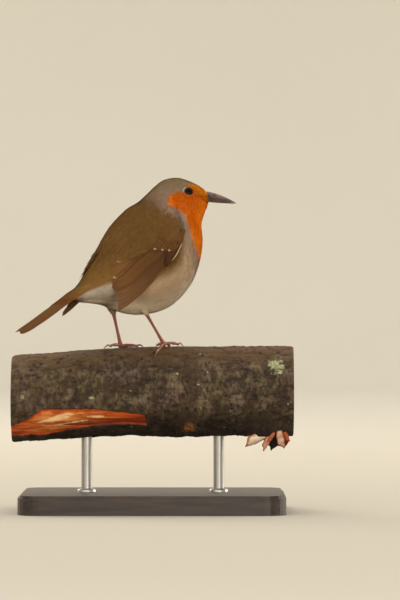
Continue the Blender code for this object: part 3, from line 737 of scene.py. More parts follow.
def spreadRoots(rng):
    count = coat["trials"]
    place, angle = rng.uniform(-0.75, 12.95, count), rng.uniform(-math.pi, math.pi, count)
    perPlace, perAngle, _ = bodyFrame(place, angle)
    spacing = byPlace(coat["spacing"], place)
    chance = np.linalg.norm(np.cross(perPlace, perAngle), axis=-1) / spacing**2
    chance /= np.quantile(chance, 0.98)
    keep = (rng.uniform(0, 1, count) < chance) & (readDrape(drapeInside, place, angle) < coat["underWing"])
    keep &= place > -0.35 + 0.75 * smooth(np.degrees(np.abs(angle)), 88, 125)
    place, angle, spacing = place[keep], angle[keep], spacing[keep]
    spots = bodyPoint(place, angle)
    tree = kdtree.KDTree(len(spots))
    for i, spot in enumerate(spots.tolist()):
        tree.insert(spot, i)
    tree.balance()
    gone, kept = np.zeros(len(spots), bool), []
    for i, spot in enumerate(spots.tolist()):
        if gone[i]:
            continue
        kept.append(i)
        for _, k, _ in tree.find_range(spot, spacing[i]):
            gone[k] = True
    return place[kept], angle[kept]


def bladeMesh(centre, normal, wide):
    # the two edges of blades whose middle lines are tufts x blades x steps x 3
    along = np.gradient(centre, axis=2)
    side = unit(np.cross(along, normal))
    reach = side * (wide / 2)[..., None]
    return centre - reach, centre + reach, side


def coatFaces(count, start=0):
    base = (np.arange(count) * bladePoints + start)[:, None]
    quads = np.concatenate([base + [0, 1, 3, 2], base + [2, 3, 5, 4]], 0)
    return [quads, base + [4, 5, 6]]


def joinBlades(left, right):
    out = np.empty(left.shape[:2] + (bladePoints,) + left.shape[3:])
    out[:, :, 0:6:2], out[:, :, 1:6:2] = left[:, :, :3], right[:, :, :3]
    out[:, :, 6] = left[:, :, 3]
    return out


def surfaceSteps(way, perPlace, perAngle):
    # a step on the surface, as steps of place and angle
    pp, pa, aa = np.sum(perPlace**2, -1), np.sum(perPlace * perAngle, -1), np.sum(perAngle**2, -1)
    x, y = np.sum(way * perPlace, -1), np.sum(way * perAngle, -1)
    area = pp * aa - pa**2
    return (x * aa - y * pa) / area, (y * pp - x * pa) / area


def layTufts(rng, place, angle, blades):
    n = len(place)
    perPlace, perAngle, normal = bodyFrame(place, angle)
    spot = bodyPoint(place, angle)
    length = byPlace(coat["length"], place) * rng.uniform(0.88, 1.1, n)
    lie = -unit(perPlace)
    turn = np.degrees(np.abs(angle))
    limit = np.full(n, 99.0)
    for eye in eyes.values():  # part round the eye and stop short of it
        toEye = eye["centre"] + eye["out"] * coat["eyeProud"] - spot
        far = np.linalg.norm(toEye, axis=-1)
        towards = unit(toEye - normal * np.sum(toEye * normal, -1, keepdims=True))
        aside = 1.3 * bell(far, 0.0, 3.1) * np.clip(np.sum(lie * towards, -1) + 0.5, 0, 2)
        lie = unit(lie - towards * aside[:, None])
        facing = np.sum(lie * towards, -1)
        room = np.maximum(far - coat["eyeClear"], 0.25) / np.maximum(facing, 0.3)
        limit = np.where((far < 7) & (facing > 0.2), np.minimum(limit, room), limit)
        limit = np.where(far < coat["eyeClear"], 0.0, limit)
    last = -0.72 + 0.62 * smooth(turn, 85, 120)  # where the coverts end over and under the tail
    left = (place - last) * np.linalg.norm(perPlace, axis=-1) * rng.uniform(0.35, 1.0, n)
    length = np.minimum(np.minimum(length, limit), np.where(place < 1.2, left, 99.0))
    keep = length > 0.2
    spread = np.cross(normal, lie)
    swing = rng.normal(0, 0.10, n)
    lie = unit(lie + spread * swing[:, None])
    spread = unit(np.cross(normal, lie))
    place, angle, length, lie, spread, normal, perPlace, perAngle, turn = (
        v[keep] for v in (place, angle, length, lie, spread, normal, perPlace, perAngle, turn)
    )
    n = len(place)
    lieSteps, spreadSteps = (surfaceSteps(way, perPlace, perAngle) for way in (lie, spread))
    wide = (length * coat["wide"] * np.where(place > coat["headFrom"], 1.15, 1.0))[:, None, None]
    across = np.linspace(-1, 1, blades)[None, :, None]
    run = bladeRun[None, None, :]
    jitter = rng.normal(0, 1, (3, n, blades, 1))
    lengths = length[:, None, None]
    x = lengths * run * (1 - 0.26 * across**2 * run) * (1 + coat["ragged"] * jitter[0] * run)
    y = wide * 0.5 * across * (0.12 + 0.88 * run**0.8) + wide * 0.05 * jitter[1] * run
    at, around = (
        start[:, None, None] + x * forLie[:, None, None] + y * forSpread[:, None, None]
        for start, forLie, forSpread in zip((place, angle), lieSteps, spreadSteps)
    )
    at = np.clip(at, -0.999, 12.999)
    depth = byPlace(skin["depth"], place)[:, None, None] + 0.1
    low = smooth(turn, 95, 150) * (1 - smooth(place, 6, 8))
    lift = (coat["lift"] + (coat["belowLift"] - coat["lift"]) * low) * byPlace(coat["liftShare"], place)
    lift = lift[:, None, None]
    tilt = rng.normal(0, 0.35, n)[:, None, None] * lift
    share = readDrape(drapeShare, place, angle)[:, None, None]
    cover = np.maximum(readDrape(drapeHeight, at, around), readDrape(drapeLift, at, around) * share)
    over = smooth(cover, 0.2, 1.1)
    height = -depth * (1 - run) ** 1.35 * (1 - 0.8 * over) + lift * run**2 * (1 + 0.5 * jitter[2])
    height = height + tilt * across * run - 0.08 * wide * across**2 * run - 0.06
    height = height + cover + over * (0.22 + 0.2 * run)
    surface, surfaceNormal = bodyPoint(at, around), bodyFrame(at, around)[2]
    centre = surface + surfaceNormal * height[..., None]
    widths = wide / blades * coat["bladeWide"] * bladeWide * np.ones((n, blades, 1))
    left, right, side = bladeMesh(centre, surfaceNormal, widths)
    points = joinBlades(left, right)
    soft = unit(surfaceNormal + side * across[..., None] * 0.30 + 0.10 * unit(np.gradient(centre, axis=2)))
    normals = joinBlades(soft, soft)
    ends = markings(at[:, :, 2] + 0.12 * jitter[1][:, :, 0], around[:, :, 2])
    shape = points.shape[:3]
    marks = {key: np.broadcast_to(value[:, :, None], shape) for key, value in ends.items()}
    vary = np.clip(rng.uniform(0, 1, n)[:, None, None] * 0.75 + rng.uniform(0, 0.25, (n, blades, 1)), 0, 1)
    marks["vary"] = np.broadcast_to(vary, shape)
    marks["along"] = np.broadcast_to(pointRun, shape)
    patchU = across * coat["patch"] * 0.8 + pointSides * coat["patch"] / blades
    patchV = (0.5 - pointRun) * coat["patch"] * 2
    return {
        "place": place, "angle": angle, "points": points, "normals": normals, "marks": marks,
        "patch": np.stack([np.broadcast_to(patchU, shape), np.broadcast_to(patchV, shape)], -1),
    }


coatZones = {  # place from and to, degrees from the back from and to
    "coat_face": (10.2, 13.0, 0, 180), "coat_crown": (8.2, 10.2, 0, 62), "coat_throat": (8.2, 10.2, 62, 180),
    "coat_nape": (6.6, 8.2, 0, 62), "coat_breast": (6.6, 8.2, 62, 180), "coat_mantle": (4.0, 6.6, 0, 75),
    "coat_chest": (4.9, 6.6, 75, 180), "coat_belly": (3.2, 4.9, 75, 180), "coat_back": (1.6, 4.0, 0, 75),
    "coat_vent": (1.6, 3.2, 75, 180), "coat_rump": (-1.0, 1.6, 0, 95), "coat_undertail": (-1.0, 1.6, 95, 180),
}


def makeCoat():
    rng = np.random.default_rng(coat["seed"])
    place, angle = spreadRoots(rng)
    finish = plumageFinish("coatFeathers")
    head = place > coat["headFrom"]
    sets = [
        layTufts(rng, place[head], angle[head], coat["headBlades"]),
        layTufts(rng, place[~head], angle[~head], coat["bodyBlades"]),
    ]
    for name, (start, end, fromTurn, toTurn) in coatZones.items():
        points, normals, marks, uvs = [], [], {}, []
        for tufts in sets:
            turn = np.degrees(np.abs(tufts["angle"]))
            mine = (tufts["place"] >= start) & (tufts["place"] < end) & (turn >= fromTurn) & (turn < toTurn + 0.01)
            if not mine.any():
                continue
            v = 0.01 + 0.98 * (tufts["place"][mine] - start) / (end - start)
            signed = tufts["angle"][mine] % (2 * math.pi) if fromTurn else tufts["angle"][mine]
            widest = math.radians(toTurn if not fromTurn else 180 - fromTurn)
            u = 0.5 + 0.48 * (signed - (math.pi if fromTurn else 0.0)) / widest
            uv = tufts["patch"][mine] + np.stack([u, v], -1)[:, None, None, :]
            points.append(tufts["points"][mine].reshape(-1, 3))
            normals.append(tufts["normals"][mine].reshape(-1, 3))
            uvs.append(uv.reshape(-1, 2))
            for key, value in tufts["marks"].items():
                marks.setdefault(key, []).append(value[mine].ravel())
        points = np.concatenate(points)
        blades = len(points) // bladePoints
        makePiece(
            name, points, coatFaces(blades), finish, {"OFBake": np.concatenate(uvs)},
            {k: np.concatenate(v) for k, v in marks.items()}, np.concatenate(normals),
        )
        print(name, blades * 5, "triangles")


makeCoat()
print("coat made")


# vanes: whole feathers with a shaft, for the wings and the tail
vaneAcross = np.array([-1.0, -0.82, -0.5, -0.2, -0.05, 0.0, 0.05, 0.2, 0.5, 0.82, 1.0])
vaneRows = 24
vaneRun = np.sin(np.linspace(0, 1, vaneRows) * math.pi / 2)  # closer together towards the tip


def vaneShape(rng, lower, upper, blunt=0.72, point=1.0):
    run = vaneRun
    end = np.clip((run - blunt) / (1 - blunt), 0, 1)
    profile = (0.55 + 0.45 * smooth(run, 0.0, 0.3)) * np.sqrt(np.clip(1 - end ** (2.0 / point), 0.0, 1)) + 0.02
    notch = 1 - 0.10 * rng.uniform(0, 1, (vaneRows, 1)) ** 3 * (np.abs(vaneAcross)[None] > 0.9)
    wide = np.where(vaneAcross < 0, lower, upper)[None, :] * profile[:, None] * notch
    return run, profile, wide * vaneAcross[None, :]


def vaneMarks(run, length, offset, rng, **extra):
    shape = offset.shape
    across = np.broadcast_to(vaneAcross[None, :], shape)
    marks = {
        "barb": run[:, None] * length - 0.9 * np.abs(offset),
        "edge": smooth(-across, 0.45, 0.95),
        "shaft": bell(across, 0.0, 0.09),
        "vary": np.full(shape, rng.uniform()),
    }
    for key, value in extra.items():
        marks[key] = np.broadcast_to(np.asarray(value, float), shape)
    return marks


class Feathers:
    def __init__(self, name, cells):
        self.name, self.cells, self.parts = name, cells, []

    def add(self, points, marks):
        self.parts.append((points, marks))

    def build(self, finish, nodes=()):
        columns = self.cells
        rows = math.ceil(len(self.parts) / columns)
        points, faces, uvs, marks = [], [], [], {}
        start = 0
        for i, (spots, values) in enumerate(self.parts):
            high, wide = spots.shape[:2]
            cell = np.array([i % columns, i // columns])
            u = np.broadcast_to((vaneAcross + 1) / 2, (high, wide))
            v = np.broadcast_to(np.linspace(0, 1, high)[:, None], (high, wide))
            uvs.append(((cell + 0.06 + 0.88 * np.stack([u, v], -1)) / [columns, rows]).reshape(-1, 2))
            points.append(spots.reshape(-1, 3))
            faces.append(gridLoops(high, wide, start=start))
            start += high * wide
            for key, value in values.items():
                marks.setdefault(key, []).append(value.ravel())
        marks = {key: np.concatenate(value) for key, value in marks.items()}
        maps = {"OFBake": np.concatenate(uvs)}
        makePiece(
            self.name, np.concatenate(points), np.concatenate(faces), finish, maps, marks, nodes=nodes,
        )


vaneTones = {
    "brown": "#563a25", "dark": "#33221a", "edge": "#6b4a2a", "pale": "#d8c5a0", "shaft": "#2f2018",
    "tail": "#715030", "covert": "#6b4b27", "tailEdge": "#624228",
}


def vaneFinish(name, base, edge):
    finish = Finish(name, specularIorLevel=0.0, sheenWeight=0.0, sheenRoughness=0.5)
    colour = finish.over(tone(vaneTones[base]), finish.mark("edge") * 0.45, vaneTones[edge])
    colour = finish.over(colour, finish.mark("dark") * (1 - finish.mark("edge") * 0.6), vaneTones["dark"])
    colour = finish.over(colour, finish.mark("olive"), vaneTones["covert"])
    colour = finish.over(colour, finish.mark("shaft") * 0.55, vaneTones["shaft"])
    colour = finish.over(colour, finish.mark("pale"), vaneTones["pale"])
    barbs = finish.node("ShaderNodeMath", {"operation": "SINE"}, {0: finish.mark("barb") * 30.0})
    mottle = finish.noise(380.0, 3.0)
    value = 0.82 + finish.mark("vary") * 0.2 + (mottle - 0.5) * 0.22 + barbs * 0.035
    colour = finish.shade(colour, value)
    normal = finish.bump(barbs * 0.5 + finish.noise(2600.0, 2.0) * 0.5, 0.35, 0.00012)
    return finish.paint(colour=colour, roughness=0.52 + mottle * 0.2, normal=normal)


def sheetVane(sheet, rng, base, tip, lower, upper, low, high, bow=0.0, blunt=0.72, point=1.0, tilt=None, **extra):
    base, tip = np.array(base, float), np.array(tip, float)
    length = np.linalg.norm(tip - base)
    way = (tip - base) / length
    over = np.array([-way[1], way[0]])
    run, profile, offset = vaneShape(rng, lower, upper, blunt, point)
    middle = base + (tip - base) * run[:, None] + over * (bow * np.sin(math.pi * run))[:, None]
    spots = middle[:, None, :] + over * offset[..., None]
    tilt = wing["tilt"] if tilt is None else tilt
    above = low + (high - low) * run[:, None] ** 0.8 - tilt * vaneAcross[None] * profile[:, None]
    above = above + 0.06 * bell(vaneAcross, 0, 0.04)[None] - 0.10 * (vaneAcross**2)[None] * profile[:, None]
    above = above + rng.normal(0, 0.02) * run[:, None]
    points = sheetPoint(sheet, spots[..., 0], spots[..., 1], above)
    return points, vaneMarks(run, length, offset, rng, **{"dark": 0.0, "olive": 0.0, "pale": 0.0, **extra})


def makeWing(side):
    sheet, rng = sheets[side], np.random.default_rng(wing["seed"])
    flight, coverts = Feathers("flight_feathers_" + side, 5), Feathers("wing_coverts_" + side, 7)

    def lay(group, *where, **extra):
        group.add(*sheetVane(sheet, rng, *where, **extra))

    def tipPatch(start, full, middle, side):
        return smooth(run, start, full) * (1 - smooth(np.abs(vaneAcross), middle, side))[None]

    run = vaneRun[:, None]
    for k, tip in enumerate(wing["primaryTips"]):
        if side == "left":
            tip = (tip[0] + 3.6 - 0.5 * k, tip[1])
        lay(
            flight, (20 + 0.6 * k, -5.3 + 1.0 * k), tip, 1.3 if k == 0 else 1.8, 2.7,
            -1.25 + 0.09 * k, -0.95 + 0.09 * k,
            bow=-1.2 + 0.16 * k, blunt=0.74, point=1.35,
            dark=0.35 - 0.35 * run, pale=0.03 * run**2, vary=rng.uniform(0.4, 1.0) + 1.7 * run**2,
        )
    for k, tip in enumerate(wing["secondaryTips"]):
        tip = (tip[0], tip[1] + rng.uniform(-0.3, 0.3))
        lay(
            flight, (15, -2.2 + 1.15 * k), tip, 1.7, 2.4, -0.66 + 0.06 * k, -0.45 + 0.06 * k,
            bow=0.1 + 0.1 * k, blunt=0.76,
            dark=0.5 - 0.45 * run, olive=0.3 * (k > 1), vary=rng.uniform(0.0, 1.0) + 1.6 * run**3,
        )
    # tertials; the third, mostly hidden, is darker as painted shade
    for k, (base, tip, lower, upper) in enumerate(wing["tertials"]):
        pale = wing["paleTertial"] * (k < 2) * tipPatch(0.965, 0.99, 0.5, 0.9)
        lay(
            flight, base, tip, lower, upper, -0.45 + 0.1 * k - 0.5 * (k == 2), -0.22 + 0.08 * k - 0.4 * (k == 2),
            bow=0.4, blunt=0.5, dark=0.5 * (k == 2), pale=pale, olive=0.5, vary=2.1 - 1.7 * (k == 2),
        )
    for k, (base, tip) in enumerate(wing["farTips"] if side == "left" else []):  # tips that stand out behind the back
        pale = 0.35 * tipPatch(0.93, 0.98, 0.4, 0.8)
        lay(
            flight, base, tip, 1.7, 2.0, -0.3, 0.95 - 0.1 * k, bow=0.3, blunt=0.6, tilt=0.25,
            dark=0.34 - 0.2 * run, pale=pale, vary=0.9,
        )
    for k in range(wing["primaryCoverts"]):
        lay(
            coverts, (12.5, -5.0 + 0.6 * k), (28.5 - 0.9 * k, -5.5 + 0.85 * k), 1.0, 1.5,
            -0.75 + 0.07 * k, -0.42 + 0.07 * k, blunt=0.6, dark=0.62 - 0.05 * k,
        )
    for k, (start, tip) in enumerate(wing["alula"]):
        pale = 0.85 * smooth(-vaneAcross, 0.42, 0.9)[None] * smooth(run, 0.3, 0.5) if k == 0 else 0.0
        lay(
            coverts, start, tip, 1.2, 1.6, -0.45 + 0.1 * k, -0.35 + 0.12 * k, bow=-0.5, blunt=0.6,
            dark=0.5 - 0.1 * k, pale=pale,
        )
    for k in range(wing["greater"]):
        tip = (21.0 + 1.05 * k, -2.8 + 1.25 * k)
        pale = wing["paleTip"] * (k in wing["paleGreater"]) * tipPatch(0.9, 0.96, 0.45, 0.85)
        lay(
            coverts, (tip[0] - 12.5, tip[1] + 0.5), tip, 1.4, 1.7, -0.22 + 0.02 * k, 0.10 + 0.02 * k,
            blunt=0.55, dark=0.5 - 0.09 * min(k, 5), olive=0.85 - 0.6 * run, pale=pale, vary=0.7,
        )
    for k in range(wing["median"]):
        tip = (14.6 + 0.75 * k, -2.6 + 1.25 * k)
        lay(
            coverts, (tip[0] - 8.0, tip[1] + 0.3), tip, 1.4, 1.5, -0.05, 0.2, blunt=0.45,
            olive=0.5 if k < 3 else 0.95, dark=0.5 - 0.15 * k if k < 3 else 0.0, vary=1.1,
        )
    # small coverts along the wing's bend; their dark tone is painted shade where the bend meets the breast
    for k in wing["bendFeathers"]:
        tip = (4.6 + 1.5 * k, np.interp(4.6 + 1.5 * k, wing["lowerA"], wing["lowerB"]) + 2.4)
        lay(coverts, (tip[0] - 4.6, tip[1] + 1.6), tip, 0.9, 1.0, -0.15, 0.05, blunt=0.45, dark=0.8, olive=0.1)
    brown = vaneFinish("flightFeathers_" + side, "brown", "edge")
    flight.build(brown, nodes=("wing_" + side,))
    coverts.build(brown)


for side in ("left", "right"):
    makeWing(side)
print("wings made")


tail = {
    "seed": 8, "root": (-37.0, -0.3, 26.2), "tip": (-70.8, -0.6, 7.3),
    "halfWidths": [4.8, 5.5, 5.9, 5.7, 5.2], "notch": 0.8, "slant": 0.14, "web": 2.3,
}


def makeTail():
    rng = np.random.default_rng(tail["seed"])
    root, tip = np.array(tail["root"]), np.array(tail["tip"])
    length = np.linalg.norm(tip - root)
    way = (tip - root) / length
    above = np.array([way[2], 0.0, -way[0]])
    feathers = Feathers("tail_feathers", 4)
    for j in [s * (k + 0.5) for k in range(5, -1, -1) for s in (-1, 1)]:
        share, sign = abs(j) / 5.5, np.sign(j)
        reach = length - tail["notch"] * (1 - share**1.3) + rng.normal(0, 0.12) - tail["slant"] * j
        run, _, offset = vaneShape(rng, tail["web"] * 0.9, tail["web"] * 1.1, 0.88, 1.15)
        half = np.interp(run, np.linspace(0, 1, 5), tail["halfWidths"])
        middle = j / 5.5 * (half - 2.0)
        lateral = middle[:, None] - sign * offset
        up = -0.10 * abs(j) - 0.36 * (lateral / 4.4) ** 2 + 0.25 + 0.25 * (1 - smooth(run, 0.35, 0.7))[:, None]
        up = up + 0.05 * bell(vaneAcross, 0, 0.04)[None] - 0.05 * (vaneAcross**2)[None]
        points = root + way * (run * reach)[:, None, None] + lateral[..., None] * [0, 1, 0] + above * up[..., None]
        if sign > 0:
            points = points[:, ::-1]
        dark = 0.02 + 0.15 * share + 0.14 * rng.uniform() + 0.24 * run[:, None]
        marks = vaneMarks(run, length, offset, rng, dark=dark, olive=0.0, pale=0.0)
        if sign > 0:
            marks = {key: value[:, ::-1] for key, value in marks.items()}
        feathers.add(points, marks)
    feathers.build(vaneFinish("tailFeathers", "tail", "tailEdge"), nodes=("tail",))


makeTail()
print("tail made")


# eyes: ball, lids and a ring of short tufts
eyeShape = {
    "radius": 3.0, "long": 1.98, "high": 1.68, "lidProud": 0.16, "rows": 44, "columns": 72,
    "ringTufts": 150, "ringWide": 0.17, "seed": 31,
    "pupil": "#060302", "iris": "#2e1407", "lidDark": "#14100d", "lid": "#33271f", "lidEdge": "#7c4a1e",
}


def lidReach(turn):
    # mm from the middle of the eye to the edge of its lids
    return 1 / np.sqrt((np.cos(turn) / eyeShape["long"]) ** 2 + (np.sin(turn) / eyeShape["high"]) ** 2)


def makeEyes():
    wet = Finish("eyeGloss", roughness=0.1, specularIorLevel=0.06, coatRoughness=0.03)
    colour = wet.over(tone(eyeShape["pupil"]), wet.mark("iris"), eyeShape["iris"])
    colour = wet.shade(colour, 0.8 + wet.noise(900.0, 2.0) * 0.4)
    gloss = wet.paint(colour=colour, coat=0.04 + wet.noise(200.0, 1.0) * 0.04)
    rim = Finish("lidSkin", specularIorLevel=0.3)
    grain = rim.noise(3800.0, 3.0)
    lidTone = rim.over(tone(eyeShape["lidDark"]), grain, eyeShape["lid"])
    lidTone = rim.over(lidTone, rim.mark("outer"), eyeShape["lidEdge"])
    lidFinish = rim.paint(colour=lidTone, roughness=0.45 + grain * 0.2, normal=rim.bump(grain, 0.5, 0.00008))
    tufts = plumageFinish("eyeRing")
    radius, rows, columns, layerTufts = (eyeShape[key] for key in ("radius", "rows", "columns", "ringTufts"))
    for side, eye in eyes.items():
        centre, out, forward, above = eye["centre"], eye["out"], eye["forward"], eye["above"]

        def spot(r, turn, height):
            r, turn, height = np.broadcast_arrays(r, turn, height)
            x, y, z = (r * np.cos(turn))[..., None], (r * np.sin(turn))[..., None], height[..., None]
            return centre + x * forward + y * above + z * out

        turns = np.linspace(0, 2 * math.pi, columns, endpoint=False)[None, :]
        if np.dot(np.cross(forward, above), out) < 0:
            turns = -turns
        tip = np.radians(np.linspace(0.6, 128, rows))[:, None]
        bulge = 1 + 0.018 * bell(np.degrees(tip), 0, 24)
        points = spot(radius * np.sin(tip) * bulge, turns, radius * np.cos(tip) * bulge)
        faces = turned([gridLoops(rows, columns, True), *capFaces(rows, columns)])
        iris = smooth(np.degrees(tip), 27, 31) * (1 - smooth(np.degrees(tip), 38, 44)) * np.ones((rows, columns))
        makePiece(
            "eyeball_" + side, points.reshape(-1, 3), faces, gloss, marks={"iris": iris.ravel()},
            nodes=("eye_" + side,),
        )

        edge = lidReach(turns)
        level = np.sqrt(np.maximum(radius**2 - np.minimum(edge, 2.9) ** 2, 0))
        crease = 0.03 * np.sin(turns * 21) + 0.02 * np.sin(turns * 13 + 1)
        steps = [
            (-0.10, -0.25), (0.0, 0.02), (0.08, 0.13), (0.2, eyeShape["lidProud"]), (0.36, 0.10), (0.55, -0.02),
            (0.85, -0.32), (1.25, -0.9),
        ]
        rings = [spot(edge + past + crease * (past > 0.1), turns, level + high)[0] for past, high in steps]
        outer = np.repeat(smooth(np.array(steps)[:, 0], 0.1, 0.4), columns)
        faces = turned([gridLoops(len(steps), columns, True)])
        makePiece(
            "eyelid_" + side, np.concatenate(rings), faces, lidFinish, marks={"outer": outer},
        )

        rng = np.random.default_rng(eyeShape["seed"])
        count = layerTufts * 3
        turn = rng.uniform(-math.pi, math.pi, count)
        layer, edge, runs = np.repeat([0.0, 0.33, 0.62], layerTufts), lidReach(turn), bladeRun[None, None, :]
        length = 0.7 + 0.3 * (np.cos(turn) < 0) + 0.15 * rng.uniform(-1, 1, count)
        sweepBack = 0.55 * np.sin(turn) / np.maximum(edge, 1)
        r = (edge + 0.28 + layer)[:, None, None] + length[:, None, None] * runs
        t = turn[:, None, None] + sweepBack[:, None, None] * runs * 0.5 + rng.normal(0, 0.03, count)[:, None, None]
        level = np.sqrt(np.maximum(radius**2 - edge**2, 0))[:, None, None]
        arch = np.sin(math.pi * (runs * 0.7 + 0.15))
        height = level + 0.12 + 0.16 * arch - 0.42 * (r - edge[:, None, None] - 0.3)
        centreLine = spot(r, t, height + rng.normal(0, 0.03, count)[:, None, None])
        wide = eyeShape["ringWide"] * bladeWide * np.ones((count, 1, 1))
        left, right, _ = bladeMesh(centreLine, np.broadcast_to(out, centreLine.shape), wide)
        points = joinBlades(left, right).reshape(-1, 3)
        # a pale crescent at the rear-upper edge of the lid is a painted highlight; a fainter pale line runs below the
        # eye
        rear = np.cos(turn - math.radians(152))
        pale = 0.9 * smooth(rear, 0.62, 0.93) * (layer < 0.3) + 0.15 * smooth(-np.sin(turn), 0.7, 1.0) * (layer < 0.2)
        ways = (edge + layer + 0.6)[:, None] * (np.cos(turn)[:, None] * forward + np.sin(turn)[:, None] * above)
        forPlace, forAngle = surfaceSteps(ways, *bodyFrame(eye["place"], eye["angle"])[:2])
        marks = markings(eye["place"] + forPlace, eye["angle"] + forAngle)
        marks = {key: value * (1 - pale) for key, value in marks.items()}
        marks["vent"] = pale
        marks["vary"], marks["along"] = rng.uniform(0, 1, count) * 0.7 + 0.6 * pale, pale
        marks = {key: np.repeat(value, bladePoints) for key, value in marks.items()}
        reach = 0.16 + 0.48 * layer + 0.05 * rng.uniform(0, 1, count)
        root = 0.5 + reach[:, None] * np.stack([np.cos(turn), np.sin(turn)], -1)
        patch = root[:, None] + coat["patch"] * bladePatch
        makePiece(
            "eye_ring_" + side, points, coatFaces(count), tufts, {"OFBake": patch.reshape(-1, 2)}, marks,
            normals=np.tile(out, (len(points), 1)),
        )


makeEyes()
print("eyes made")


# bill: both horns with the nostril, and the bristles at its base
bill = {
    "length": 13.4, "depth": 4.6, "width": 4.6, "root": (36.2, 0.0, 70.8), "down": 9.5,
    "gape": 0.42, "hook": 0.5, "back": 1.6, "lowerShare": 0.94, "rows": 64, "columns": 33, "nostril": 0.62,
    "nostrilDeep": 0.28,
    # hollow paints shade into the nostril, sheen paints a highlight on the bill's sides
    "horn": "#33271f", "hornLight": "#544034", "sheen": "#8a7168", "hollow": "#0c0908",
}
bristles = {"seed": 3, "each": 8, "long": (3.0, 5.2), "thick": 0.11, "dark": "#17110d", "brown": "#33261c"}


def billPoint(x, y, z):
    down = math.radians(bill["down"])
    x, y, z = np.broadcast_arrays(x, y, z)
    spot = np.stack([x * math.cos(down) + z * math.sin(down), y, z * math.cos(down) - x * math.sin(down)], -1)
    return turnHead(spot + np.array(bill["root"]), 1.0)


def makeBill():
    horn = Finish("hornBill", specularIorLevel=0.45)
    grain = horn.noise(700.0, 4.0)
    colour = horn.over(tone(bill["horn"]), grain, bill["hornLight"])
    # painted highlight along the sides of the bill
    colour = horn.over(colour, horn.mark("ridge"), bill["sheen"])
    # painted shade in the nostril's hollow
    colour = horn.over(colour, horn.mark("hollow"), bill["hollow"])
    surface = horn.paint(colour=colour, roughness=0.36 + grain * 0.22, normal=horn.bump(grain, 0.3, 0.00008))
    rows, columns = bill["rows"], bill["columns"]
    for node, upper in (("bill_upper", True), ("bill_lower", False)):
        length = bill["length"] * (1 if upper else bill["lowerShare"])
        depth = bill["depth"] * (1 - bill["gape"] if upper else bill["gape"])
        sign = 1 if upper else -1
        floor = bill["depth"] * (bill["gape"] - 0.5) + sign * 0.04
        reach = np.linspace(-bill["back"] / length, 1, rows)[:, None]
        along = np.clip(reach, 0, 1)
        taper = (1 - along**1.7) * 0.93 + 0.07
        half = bill["width"] / 2 * ((1 - along**0.9) * 0.92 + 0.08)
        turn = np.linspace(0, math.pi, columns)[None, :]
        shape = np.abs(np.sin(turn)) ** (0.9 if upper else 0.8)
        ridge = 0.05 * bell(turn, math.pi / 2, 0.18) * (1 - along) if upper else 0.0
        height = depth * taper * (shape + ridge)
        wide = half * np.sign(np.cos(turn)) * np.abs(np.cos(turn)) ** 0.88
        hollow = np.zeros((rows, columns))
        for middle in (bill["nostril"], math.pi - bill["nostril"]) if upper else ():
            hollow = hollow + np.exp(-(((along - 0.16) / 0.055) ** 2 + ((turn - middle) / 0.24) ** 2) ** 1.5)
        height, wide = height - bill["nostrilDeep"] * hollow * np.sin(turn), wide * (1 - 0.16 * hollow)
        edge = 0.10 * np.exp(-((np.minimum(turn, math.pi - turn) / 0.16) ** 2))
        points = billPoint(reach * length, wide * (1 + edge * 0.4), floor - bill["hook"] * along**3 + sign * height)
        closing = np.arange(rows - 1)[:, None] * columns + [0, columns, 2 * columns - 1, columns - 1]
        faces = [gridLoops(rows, columns), closing, *capFaces(rows, columns)]
        # where the painted highlight lies: each side, mid-bill, fainter on the lower horn
        paintedSheen = 0.65 * bell(turn, 0.9, 0.5) + 0.65 * bell(turn, math.pi - 0.9, 0.5)
        paintedSheen = paintedSheen * bell(along, 0.35, 0.3) * (1.0 if upper else 0.4)
        marks = {"hollow": np.clip(hollow, 0, 1).ravel(), "ridge": paintedSheen.ravel()}
        faces = faces if upper else turned(faces)
        makePiece(node + "_horn", points.reshape(-1, 3), faces, surface, marks=marks, nodes=(node,))


def makeBristles():
    rng, each = np.random.default_rng(bristles["seed"]), bristles["each"]
    finish = Finish("bristle", specularIorLevel=0.3)
    grain = finish.noise(900.0, 2.0)
    colour = finish.over(tone(bristles["dark"]), grain, bristles["brown"])
    dark = finish.paint(colour=colour, roughness=0.5 + grain * 0.2)
    lines = []
    for sign in (-1, 1):
        for k in range(each):
            start = np.array([-1.2 - 0.175 * k, sign * (1.9 + 0.12 * k), -0.3 + 0.42 * (k % 4)])
            way = unit(np.array([1.0, sign * rng.uniform(0.25, 0.6), rng.uniform(-0.45, 0.15)]))
            length = rng.uniform(*bristles["long"])
            run = np.linspace(0, 1, 4)[:, None]
            line = start + way * length * run + np.array([0, -sign * 0.6, -0.5]) * run**2
            lines.append(billPoint(*line.T))
    lines = np.array(lines)[:, None]
    count, pivot = len(lines), np.array([pose["neckPivot"], 0.0, 0.0])
    across = turnHead(pivot + [0.0, 1.0, 0.0], 1.0) - pivot
    wide = bristles["thick"] * np.array([1, 0.8, 0.55, 0]) * np.ones((count, 1, 1))
    faces, spots = [], []
    for lean, way in enumerate((across, [0.0, 0.0, 1.0])):  # two crossed blades for each bristle
        left, right, _ = bladeMesh(lines, np.broadcast_to(way, lines.shape), wide)
        spots.append(joinBlades(left, right).reshape(-1, 3))
        faces += coatFaces(count, lean * count * bladePoints)
    hair = np.arange(count * 2)
    cell = np.stack([hair % each, hair // each], -1)[:, None] + 0.5 + 0.4 * bladePatch
    maps = {"OFBake": (cell / [each, count * 2 / each]).reshape(-1, 2)}
    makePiece("rictal_bristles", np.concatenate(spots), faces, dark, maps)


makeBill()
makeBristles()
print("bill made")


